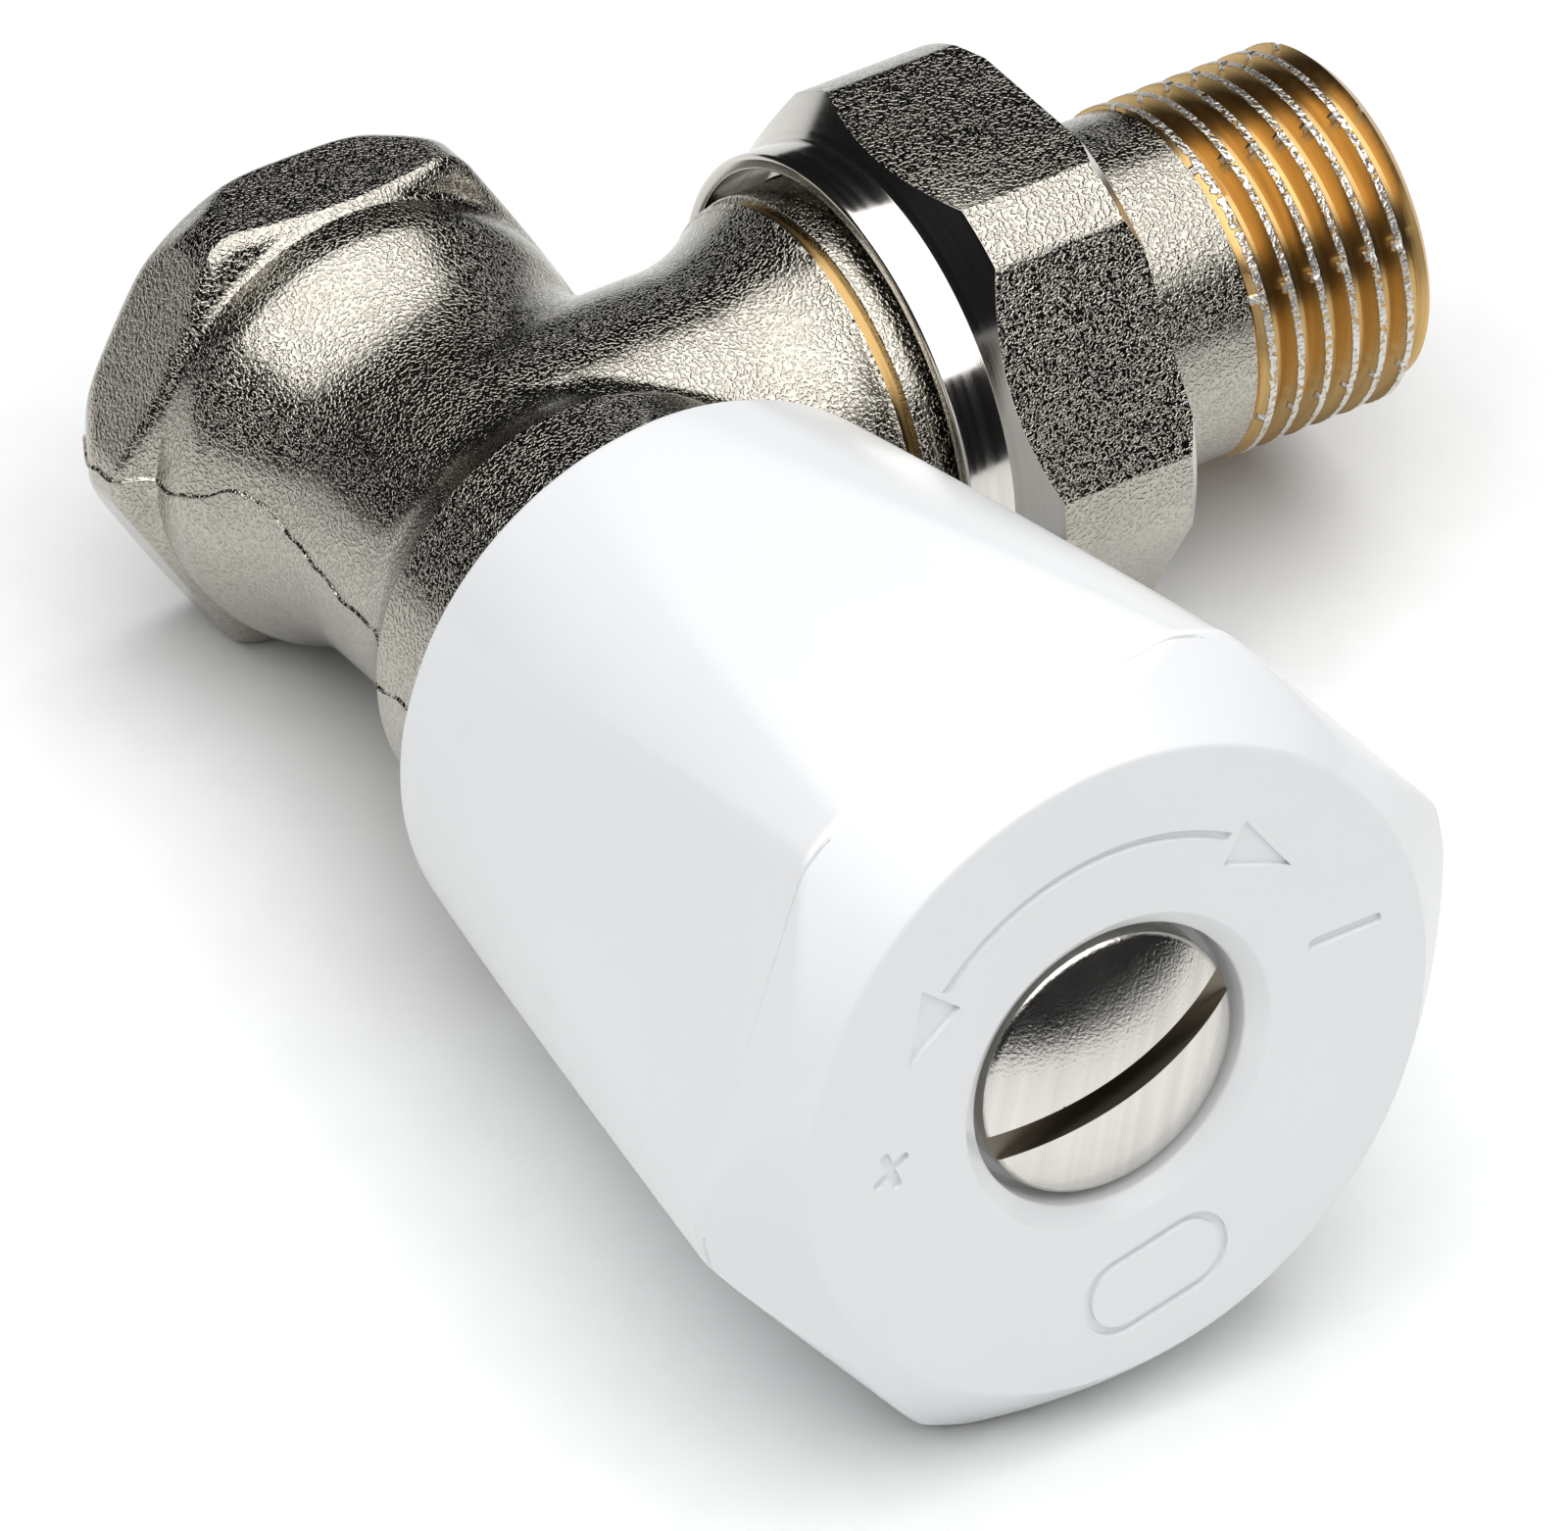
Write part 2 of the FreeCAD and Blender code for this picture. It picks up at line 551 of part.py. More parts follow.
def make_union():
    """Union nut, threaded tail and the tail's seal ring."""
    nut = new_body("union_nut")
    collar_end = S["nut_start"] + S["nut_collar_length"]
    rim_bevel = S["nut_rim"] / 3
    section = outline(nut, "nut_section", "XY_Plane", [
        (S["nut_start"], None),
        (S["nut_end"], None),
        (S["nut_end"], S["nut_corner"] - S["nut_bevel"]),
        (S["nut_end"] - S["nut_bevel"], S["nut_corner"]),
        (collar_end + S["nut_chamfer_length"], S["nut_corner"]),
        (collar_end, S["nut_collar"]),
        (S["nut_start"] + rim_bevel, S["nut_collar"]),
        (S["nut_start"], S["nut_collar"] - rim_bevel),
    ])
    turned(nut, "nut_turning", section, axis="H_Axis")
    # One flat: what stands outside it is cut away, six times round
    flat = rectangle(nut, "nut_flat_section", "XY_Plane", collar_end, S["nut_flats"] / 2,
                     S["nut_end"] * 2, S["nut_flats"])
    cut = extruded(nut, "nut_flat", flat, S["nut_flats"] * 2, cut=True, both_ways=True)
    pattern_round(nut, "nut_flats_round", cut, flat, "H_Axis", HEX_SIDES)
    thread = S["spigot_radius"] + S["union_gap"]
    stop = S["spigot_reach"] + S["tail_flange_length"]
    mouth = S["nut_collar"] - S["nut_rim"]
    turned(nut, "nut_bores", outline(nut, "nut_bore_section", "XY_Plane", [
        (S["nut_start"], None),
        (S["nut_end"], None),
        (S["nut_end"], S["tail_shank"] + S["tail_gap"]),
        (stop, S["tail_shank"] + S["tail_gap"]),
        (stop, thread),
        (S["nut_start"] + S["nut_rim_depth"], thread),
        (S["nut_start"] + S["nut_rim_depth"], mouth),
        (S["nut_start"], mouth),
    ]), axis="H_Axis", cut=True)
    # A flat faces +Y as drawn; the corner beside it stands half a side further round
    place(nut, "vector(1; 0; 0)", as_size(HALF_TURN - HALF_HEX_SIDE) - S["nut_turn"])

    tail = new_body("union_tail")
    seat = S["spigot_reach"]
    nose = S["nose_bore"] - S["nose_gap"]
    groove = S["nose_bore"] - S["seal_gap"] * 2 - S["tail_ring_section"]
    groove_half = S["tail_ring_section"] / 2 + S["seal_gap"] * 2
    ring_place = seat - S["nose_length"] / 2
    turned(tail, "tail_turning", outline(tail, "tail_section", "XY_Plane", [
        (seat - S["nose_length"], S["tail_bore"]),
        (S["tail_reach"], S["tail_bore"]),
        (S["tail_reach"], S["tail_thread"] - S["tail_chamfer"]),
        (S["tail_reach"] - S["tail_chamfer"], S["tail_thread"]),
        (S["tail_thread_start"], S["tail_thread"]),
        (S["tail_thread_start"], S["tail_shank"]),
        (stop, S["tail_shank"]),
        (stop, S["tail_flange"]),
        (seat, S["tail_flange"]),
        (seat, nose),
        (ring_place + groove_half, nose),
        (ring_place + groove_half, groove),
        (ring_place - groove_half, groove),
        (ring_place - groove_half, nose),
        (seat - S["nose_length"], nose),
    ]), axis="H_Axis")
    cut_thread(tail, S["tail_thread"], S["tail_thread_start"] + S["thread_pitch"] / 2)
    half = S["lug_width"] / 2
    lug = rectangle(tail, "lug_section", "YZ_Plane", -half, S["tail_bore"] - S["lug_height"],
                    half, S["tail_bore"] + S["lug_height"], offset=S["lug_start"])
    lug_pad = extruded(tail, "lug", lug, S["lug_length"])
    pattern_round(tail, "lugs_round", lug_pad, lug, "N_Axis", 2)
    place(tail)
    seal_ring("tail_o_ring", groove + S["seal_gap"] + S["tail_ring_section"] / 2,
              S["tail_ring_section"], along_x=ring_place)


def make_bonnet():
    """Bonnet with its flange, spindle thread and stuffing box, and the ring that seals it."""
    bonnet = new_body("bonnet")
    seat = S["collar_reach"]
    top = S["bonnet_reach"]
    spigot = S["bonnet_thread"] - S["thread_gap"]
    low = seat - S["bonnet_spigot"]
    section = S["bonnet_ring_section"]
    ring_radius = S["bonnet_thread"] - S["seal_gap"] - section / 2
    groove = ring_radius - section / 2 - S["seal_gap"]
    groove_low = seat - section - S["seal_gap"] * 2
    turned(bonnet, "bonnet_turning", outline(bonnet, "bonnet_section", "XY_Plane", [
        (None, -top),
        (S["bonnet_neck"], -top),
        (S["bonnet_neck"], -seat),
        (groove, -seat),
        (groove, -groove_low),
        (spigot, -groove_low),
        (spigot, -low),
        (None, -low),
    ]))
    flange = hexagon(bonnet, "bonnet_flange_section", "XZ_Plane", S["bonnet_flats"], offset=seat)
    extruded(bonnet, "bonnet_flange", flange, S["bonnet_flange"])
    box = box_radius()
    turned(bonnet, "bonnet_bores", outline(bonnet, "bonnet_bore_section", "XY_Plane", [
        (None, -top),
        (box, -top),
        (box, S["box_depth"] - top),
        (S["stem_radius"] + S["spindle_gap"], S["box_depth"] - top),
        (S["stem_radius"] + S["spindle_gap"], -S["thread_top"]),
        (S["spindle_thread"] + S["spindle_gap"], -S["thread_top"]),
        (S["spindle_thread"] + S["spindle_gap"], -low),
        (None, -low),
    ]), cut=True)
    place(bonnet)
    seal_ring("bonnet_o_ring", ring_radius, section,
              along_y=-(seat - S["seal_gap"] - section / 2))


def box_radius():
    """Stuffing box radius: stem, seal ring and a gap on either side."""
    return S["stem_radius"] + S["stem_ring_section"] + S["seal_gap"] * 2


def make_gland():
    """Two spindle seals with a spacer between them, closed in by the gland nut."""
    floor = S["bonnet_reach"] - S["box_depth"]
    section = S["stem_ring_section"]
    ring_radius = S["stem_radius"] + S["seal_gap"] + section / 2
    bore = S["stem_radius"] + S["spindle_gap"]
    nose = box_radius() - S["thread_gap"]
    first = floor + S["seal_gap"] + section / 2
    spacer_low = first + section / 2 + S["seal_gap"]
    spacer_high = spacer_low + S["gland_spacer"]
    second = spacer_high + S["seal_gap"] + section / 2
    nose_low = second + section / 2 + S["seal_gap"]
    seal_ring("stem_o_ring_inner", ring_radius, section, along_y=-first)
    seal_ring("stem_o_ring_outer", ring_radius, section, along_y=-second)
    place(turned_piece("gland_ring", ring_section(bore, nose, -spacer_high, -spacer_low)))

    gland = new_body("gland_nut")
    top = S["bonnet_reach"]
    nose_sketch = circle(gland, "gland_nose_section", "XZ_Plane", nose, offset=nose_low)
    extruded(gland, "gland_nose", nose_sketch, top - nose_low)
    head = hexagon(gland, "gland_head_section", "XZ_Plane", S["gland_flats"], offset=top)
    extruded(gland, "gland_head", head, S["gland_head"])
    hole = circle(gland, "gland_bore_section", "XZ_Plane", bore, offset=nose_low)
    extruded(gland, "gland_bore", hole, top + S["gland_head"] - nose_low, cut=True, reverse=True)
    place(gland)


def make_spindle():
    """Spindle: foot, neck, thread, stem and square drive with a tapped end."""
    spindle = new_body("spindle")
    foot_top = S["foot_length"] - S["foot_reach"]
    thread_end = S["thread_top"] - S["lift"] - S["lift_spare"]
    turned(spindle, "spindle_turning", outline(spindle, "spindle_section", "XY_Plane", [
        (None, -S["square_start"]),
        (S["stem_radius"], -S["square_start"]),
        (S["stem_radius"], -thread_end),
        (S["spindle_thread"], -thread_end),
        (S["spindle_thread"], -S["thread_start"]),
        (S["foot_neck"], -S["thread_start"]),
        (S["foot_neck"], -foot_top),
        (S["foot_radius"], -foot_top),
        (S["foot_radius"], S["foot_reach"]),
        (None, S["foot_reach"]),
    ]))
    half = S["square_size"] / 2
    square = rectangle(spindle, "square_section", "XZ_Plane", -half, -half, half, half,
                       offset=S["square_start"])
    extruded(spindle, "square", square, S["square_length"])
    hole = circle(spindle, "tapped_section", "XZ_Plane", S["screw_shank"] + S["thread_gap"],
                  offset=S["square_start"] + S["square_length"])
    extruded(spindle, "tapped_hole", hole, S["tapped_depth"], cut=True)
    place(spindle, angle=-S["wheel_turn"])


def make_disc():
    """Shut-off disc on its holder, with the snap ring that carries the holder on the spindle."""
    face = S["seat_reach"]
    disc_floor = face - S["disc_thickness"]
    plate_back = disc_floor - S["holder_plate"]
    rim = disc_floor + S["holder_rim"]
    pocket = S["disc_radius"] + S["seal_gap"]
    washer_top = face + S["disc_washer_thickness"]
    nut_top = washer_top + S["disc_nut_height"]
    bore = S["foot_radius"] + S["foot_gap"]
    bore_floor = S["foot_reach"] + S["foot_gap"]
    snap_low = S["foot_length"] - S["foot_reach"] + S["foot_gap"]
    groove = bore + S["snap_depth"]
    place(turned_piece("disc_holder", [
        (None, bore_floor),
        (bore, bore_floor),
        (bore, -snap_low),
        (groove, -snap_low),
        (groove, -(snap_low + S["snap_thickness"])),
        (bore, -(snap_low + S["snap_thickness"])),
        (bore, -S["boss_reach"]),
        (S["boss_radius"], -S["boss_reach"]),
        (S["boss_radius"], plate_back),
        (S["holder_radius"], plate_back),
        (S["holder_radius"], rim),
        (pocket, rim),
        (pocket, disc_floor),
        (S["stud_radius"], disc_floor),
        (S["stud_radius"], nut_top + S["stud_spare"]),
        (None, nut_top + S["stud_spare"]),
    ]))
    hole = S["stud_radius"] + S["thread_gap"]
    place(turned_piece("disc_seal", ring_section(hole, S["disc_radius"], disc_floor, face)))
    place(turned_piece("disc_washer", ring_section(hole, S["disc_washer_radius"], face, washer_top)))

    nut = new_body("disc_nut")
    sides = hexagon(nut, "disc_nut_section", "XZ_Plane", S["disc_nut_flats"], offset=-nut_top)
    extruded(nut, "disc_nut_prism", sides, S["disc_nut_height"])
    bore_sketch = circle(nut, "disc_nut_bore_section", "XZ_Plane", hole, offset=-nut_top)
    extruded(nut, "disc_nut_bore", bore_sketch, S["disc_nut_height"], cut=True, reverse=True)
    place(nut)

    snap = new_body("holder_ring")
    inner = S["foot_neck"] + S["spindle_gap"]
    outer = groove - S["seal_gap"]
    section = outline(snap, "holder_ring_section", "XY_Plane",
                      ring_section(inner, outer, -(snap_low + S["snap_thickness"]), -snap_low))
    ring = turned(snap, "holder_ring_turning", section)
    ring.setExpression("Angle", (as_size(FULL_TURN) - S["snap_opening"]).text)
    place(snap)


def make_hand_wheel():
    """Moulded wheel: a flaring skirt with six flats, hollow, with hub, ribs and screw recess."""
    wheel = new_body("hand_wheel")
    rear = S["wheel_rear"]
    ridge = S["wheel_ridge"]
    front = S["wheel_front"]
    turned(wheel, "wheel_turning", outline(wheel, "wheel_section", "XY_Plane", [
        (None, -front),
        (S["wheel_face_radius"], -front, S["wheel_brow"]),
        (S["wheel_ridge_radius"], -ridge),
        (S["wheel_rear_radius"], -rear),
        (None, -rear),
    ]))
    # One flat leans outwards to the ridges and rounds over to the face; what stands outside it is
    # cut away, six times round
    outside = S["wheel_ridge_radius"] * 2
    flat = outline(wheel, "wheel_flat_section", "XY_Plane", [
        (S["wheel_face_radius"] + S["wheel_flat_touch"], -front),
        (outside, -front),
        (outside, -rear),
        (S["wheel_flat_rear"], -rear),
        (S["wheel_flat_front"], -ridge, -S["wheel_flat_round"]),
    ])
    cut = extruded(wheel, "wheel_flat", flat, outside * 2, cut=True, both_ways=True)
    pattern_round(wheel, "wheel_flats_round", cut, flat, "V_Axis", HEX_SIDES)

    wall = front - S["wheel_front_wall"]
    hollow = S["wheel_rear_radius"] - S["wheel_wall"]
    turned(wheel, "wheel_hollow", outline(wheel, "wheel_hollow_section", "XY_Plane", [
        (None, -wall),
        (S["wheel_hollow_front"], -wall),
        (hollow, -rear),
        (None, -rear),
    ]), cut=True)
    seat = S["square_start"]
    hub = circle(wheel, "hub_section", "XZ_Plane", S["hub_radius"], offset=seat)
    extruded(wheel, "hub", hub, wall - seat)
    ribs = outline(wheel, "rib_section", "XY_Plane", [
        (S["hub_radius"] - S["rib_thickness"] / 2, -wall),
        (S["wheel_hollow_front"] + S["wheel_wall"] / 2, -wall),
        (S["wheel_hollow_front"], S["rib_length"] - wall),
        (S["hub_radius"] - S["rib_thickness"] / 2, S["rib_length"] - wall),
    ])
    rib = extruded(wheel, "rib", ribs, S["rib_thickness"], both_ways=True)
    pattern_round(wheel, "ribs_round", rib, ribs, "V_Axis", HEX_SIDES)

    floor = front - S["recess_depth"]
    hole = S["screw_shank"] + S["screw_hole_gap"]
    turned(wheel, "recess", outline(wheel, "recess_section", "XY_Plane", [
        (None, -front),
        (S["recess_radius"], -front),
        (S["recess_radius"], -floor),
        (hole, -floor),
        (hole, -seat),
        (None, -seat),
    ]), cut=True)
    half = S["square_size"] / 2 + S["square_gap"]
    square = rectangle(wheel, "wheel_square_section", "XZ_Plane", -half, -half, half, half,
                       offset=seat)
    extruded(wheel, "wheel_square", square, S["square_length"] + S["lift_spare"], cut=True,
             reverse=True)
    place(wheel, angle=-S["wheel_turn"])


def make_wheel_screw():
    """Broad domed screw with one slot, clamping the wheel on the spindle."""
    screw = new_body("wheel_screw")
    seat = S["wheel_front"] - S["recess_depth"]
    edge = seat + S["screw_edge"]
    top = edge + S["screw_dome"]
    dome = (S["screw_head"] * S["screw_head"] + S["screw_dome"] * S["screw_dome"]) / (
        S["screw_dome"] * 2)
    turned(screw, "screw_turning", outline(screw, "screw_section", "XY_Plane", [
        (None, -top, dome),
        (S["screw_head"], -edge),
        (S["screw_head"], -seat),
        (S["screw_shank"], -seat),
        (S["screw_shank"], S["screw_length"] - seat),
        (None, S["screw_length"] - seat),
    ]))
    half = S["screw_slot"] / 2
    slot = rectangle(screw, "slot_section", "YZ_Plane", -top * 2, -half,
                     S["screw_slot_depth"] - top, half)
    extruded(screw, "slot", slot, S["screw_head"] * 3, cut=True, both_ways=True)
    place(screw, angle=-S["screw_slot_turn"])


make_valve_body()
make_union()
make_bonnet()
make_gland()
make_spindle()
make_disc()
make_hand_wheel()
make_wheel_screw()
doc.recompute()

for item in doc.Objects:
    if "Invalid" in item.State or "Error" in item.State:
        raise RuntimeError("feature failed: " + item.Name)
for piece in pieces:
    if piece.Shape.isNull() or not piece.Shape.isValid() or len(piece.Shape.Solids) != 1:
        raise RuntimeError("piece is not one valid solid: " + piece.Label)

os.makedirs("parts", exist_ok=True)
for piece in pieces:
    piece.Shape.exportStep("parts/%s.step" % piece.Label)
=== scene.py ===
import json
import math

import bmesh
import bpy
from bpy.props import FloatProperty, FloatVectorProperty, IntProperty, PointerProperty
from bpy.types import Operator, Panel, PropertyGroup
from mathutils import Matrix, Vector


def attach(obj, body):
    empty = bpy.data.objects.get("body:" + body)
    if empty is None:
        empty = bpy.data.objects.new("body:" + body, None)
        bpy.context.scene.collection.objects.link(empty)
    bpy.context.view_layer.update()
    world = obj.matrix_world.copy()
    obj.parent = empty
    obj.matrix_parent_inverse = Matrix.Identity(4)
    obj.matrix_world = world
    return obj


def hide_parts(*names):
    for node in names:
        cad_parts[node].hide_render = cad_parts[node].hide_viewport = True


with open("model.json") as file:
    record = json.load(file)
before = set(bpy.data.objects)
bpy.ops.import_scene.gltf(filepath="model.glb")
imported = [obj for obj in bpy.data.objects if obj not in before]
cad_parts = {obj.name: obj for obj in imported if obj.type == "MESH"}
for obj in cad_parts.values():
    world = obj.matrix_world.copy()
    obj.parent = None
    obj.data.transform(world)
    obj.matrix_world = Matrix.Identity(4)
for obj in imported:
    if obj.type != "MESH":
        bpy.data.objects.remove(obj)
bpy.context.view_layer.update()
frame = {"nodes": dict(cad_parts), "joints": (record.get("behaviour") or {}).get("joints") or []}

bl_info = {
    "name": "Angle radiator valve",
    "version": (1, 0, 0),
    "blender": (4, 5, 0),
    "location": "3D View > Sidebar > Valve",
    "description": "Dresses the packed radiator valve: forged body, union, hand wheel and stage",
    "category": "Object",
}

MM = 0.001
FULL_TURN = 2 * math.pi
AXIS = {"X": Vector((1, 0, 0)), "Y": Vector((0, 1, 0)), "Z": Vector((0, 0, 1))}
JOINTS = {joint["name"]: joint for joint in frame["joints"]}
# Where the spindle axis and the branch axis cross; every piece is drawn about this point
CROSSING = Vector((0, JOINTS["nut_turn"]["pos_m"][1], 0))
MERGE = 1e-7
NEAR = MERGE * 10
SHARP_ANGLE = math.radians(32)
PHOTO_WIDTH = 1600
BENCH_SLOTS = 4
# Thread section: a flank's share of the gap between crests, and the rounding at its foot
FLANK_SHARE = 0.36
FOOT_START = 0.92
FOOT_END = 1.1
FOOT_RISE = 0.08
SPARE_TURNS = 2
# Range in which most of a noise texture's values lie
NOISE_LOW = 0.3
NOISE_HIGH = 0.7


def length(name, description, millimetres):
    """A length property, given in millimetres."""
    return FloatProperty(name=name, description=description, default=millimetres * MM,
                         unit="LENGTH", precision=5)


def crossing_to(name, target, millimetres):
    """A length property, from the place where the two axes cross."""
    return length(name, "Axes crossing to " + target, millimetres)


def angle(name, description, degrees):
    """An angle property, given in degrees."""
    return FloatProperty(name=name, description=description, default=math.radians(degrees),
                         unit="ROTATION")


def share(name, description, value):
    """A plain number property."""
    return FloatProperty(name=name, description=description, default=value)


def tint(name, description, colour):
    """A colour property."""
    return FloatVectorProperty(name=name, description=description, default=colour, size=3,
                               subtype="COLOR", min=0, max=1)


class BodySizes(PropertyGroup):
    """Sizes of the forged valve body."""
    inlet_reach: crossing_to("Inlet reach", "the inlet face", 21.5)
    socket_flats: length("Socket flats", "Inlet hexagon across flats", 27)
    socket_corner: length("Socket corner", "Rounding of the inlet hexagon's corners", 3)
    socket_front: share("Socket front", "Slope of the hexagon's end towards the barrel", 1.8)
    socket_rear: share("Socket rear", "Slope of the turned chamfer at the hexagon's mouth", 0.5)
    socket_mouth: length("Socket mouth", "How far that chamfer stands over the flats at the mouth", 0.15)
    socket_edge: length("Socket edge", "Softness of the hexagon's end towards the barrel", 1.0)
    chamfer_edge: length("Chamfer edge", "Softness of the turned chamfer's edge", 0.35)
    mouth_drop: length("Mouth drop", "How far the flats round down at the mouth", 0.45)
    mouth_run: length("Mouth run", "Length of that rounding", 0.9)
    barrel_radius: length("Barrel radius", "Largest barrel radius", 13.15)
    barrel_shoulder: crossing_to("Barrel shoulder", "the barrel's shoulder", 14.7)
    barrel_blend: length("Barrel blend", "Convex radius from barrel towards waist", 4.5)
    waist_radius: length("Waist radius", "Narrow waist between barrel and collar", 10.6)
    waist_blend: length("Waist blend", "Concave radius from barrel into waist", 15)
    waist_back: crossing_to("Waist back", "the waist's inlet end", 3.5)
    waist_front: crossing_to("Waist front", "the waist's wheel end", 2.5)
    collar_flare: length("Collar flare", "Concave radius from waist to bonnet collar", 8.4)
    collar_radius: length("Collar radius", "Bonnet collar radius", 13.2)
    collar_reach: crossing_to("Collar reach", "the bonnet seat face", 18.5)
    neck_radius: length("Neck radius", "Branch neck radius", 10.7)
    neck_flare: length("Neck flare", "Concave radius from neck to branch end", 9)
    branch_radius: length("Branch radius", "Radius of the branch end", 12.8)
    branch_reach: crossing_to("Branch reach", "the turned ring", 18.8)
    ring_width: length("Ring width", "Width of the turned ring", 0.7)
    ring_depth: length("Ring depth", "Depth of the turned ring", 0.3)
    spigot_radius: length("Spigot radius", "Outer radius of the union thread", 12.9)
    spigot_reach: crossing_to("Spigot reach", "the spigot's end face", 29)
    inlet_thread: length("Inlet thread", "Inlet thread radius at its crests", 9.316)
    inlet_depth: length("Inlet depth", "Inlet face to the thread's bottom", 11)
    inlet_chamfer: length("Inlet chamfer", "Chamfer at the inlet mouth", 1.2)
    port_radius: length("Port radius", "Seat port radius", 5.5)
    seat_reach: crossing_to("Seat reach", "the seat face", 7.2)
    chamber_radius: length("Chamber radius", "Valve chamber radius", 8.6)
    bonnet_thread: length("Bonnet thread", "Bonnet thread radius in the body", 10)
    bonnet_depth: length("Bonnet depth", "Bonnet seat face to the chamber", 6.5)
    passage_radius: length("Passage radius", "Outlet passage radius", 6.6)
    nose_bore: length("Nose bore", "Bore that takes the tail's nose", 9.2)
    nose_depth: length("Nose depth", "Depth of that bore", 4.6)
    voxel: length("Voxel", "Grid of the forging's skin", 0.34)
    crease_reach: length("Crease reach", "How far the blend of neck and barrel spreads", 3.6)
    flash_width: length("Flash width", "Width of the parting line's flash", 0.36)
    flash_height: length("Flash height", "Height of the parting line's flash", 0.13)
    flash_lift: length("Flash lift", "How far the parting line wanders up on the barrel", 1.9)
    flash_crest: crossing_to("Flash crest", "the parting line's highest place", 7.5)
    flash_span: length("Flash span", "Spread of that wandering along the axis", 4.5)


class UnionSizes(PropertyGroup):
    """Sizes of the union nut and the threaded tail."""
    pitch: length("Pitch", "Pitch of the half-inch pipe thread", 1.814)
    thread_depth: length("Thread depth", "Depth of the thread's groove", 0.95)
    crest_width: length("Crest width", "Flat on the thread's crest", 0.426)
    nut_flats: length("Nut flats", "Union nut across flats", 31)
    nut_corner: length("Nut corner", "Radius that the nut's corners are turned to", 16.9)
    nut_start: crossing_to("Nut start", "the nut's collar rim", 20.9)
    nut_collar: length("Nut collar", "Nut collar radius", 14.8)
    nut_collar_length: length("Collar length", "Nut collar length", 2.8)
    nut_cone: length("Cone length", "Length of the cone between collar and hexagon", 1.9)
    nut_end: crossing_to("Nut end", "the nut's end face", 34.6)
    nut_bevel: length("Nut bevel", "Bevel at the nut's end", 0.7)
    nut_rim: length("Nut rim", "Wall of the nut's collar at its rim", 0.9)
    nut_rim_depth: length("Rim depth", "Depth of the collar's counterbore", 2.1)
    nut_bore: length("Nut bore", "Thread bore of the nut", 13)
    nut_turn: angle("Nut turn", "Angle of a nut corner from the wheel's side upwards", 57.7)
    nut_edge: length("Nut edge", "Softening of the nut's edges", 0.14)
    flange_radius: length("Flange radius", "Tail flange radius", 12.7)
    flange_end: crossing_to("Flange end", "the flange's outer face", 31.9)
    shank_radius: length("Shank radius", "Plain tail shank radius", 10.2)
    shank_gap: length("Shank gap", "Radial gap between nut and tail shank", 0.5)
    tail_thread: length("Tail thread", "Tail thread radius", 10.45)
    tail_run_out: crossing_to("Run-out", "the thread's run-out", 42.6)
    tail_reach: crossing_to("Tail reach", "the tail's end", 54.4)
    tail_chamfer: length("Tail chamfer", "Chamfer at the tail's end", 0.8)
    tail_bore: length("Tail bore", "Tail bore radius", 6.5)
    nose_radius: length("Nose radius", "Radius of the tail's nose", 9.1)
    nose_start: crossing_to("Nose start", "the nose's end", 24.8)
    seat_reach: crossing_to("Seat reach", "the tail's seat", 29)
    lug_width: length("Lug width", "Width of the driving lugs in the bore", 2.6)
    lug_height: length("Lug height", "Height of the driving lugs", 1.1)
    lug_start: crossing_to("Lug start", "the lugs", 37)
    lug_length: length("Lug length", "Length of the lugs", 12)
    notch_rows: IntProperty(name="Notch rows", description="Rows of notches across the crests", default=8)
    notch_width: length("Notch width", "Width of a notch in the crests", 0.5)
    notch_depth: length("Notch depth", "Depth of a notch in the crests", 0.12)


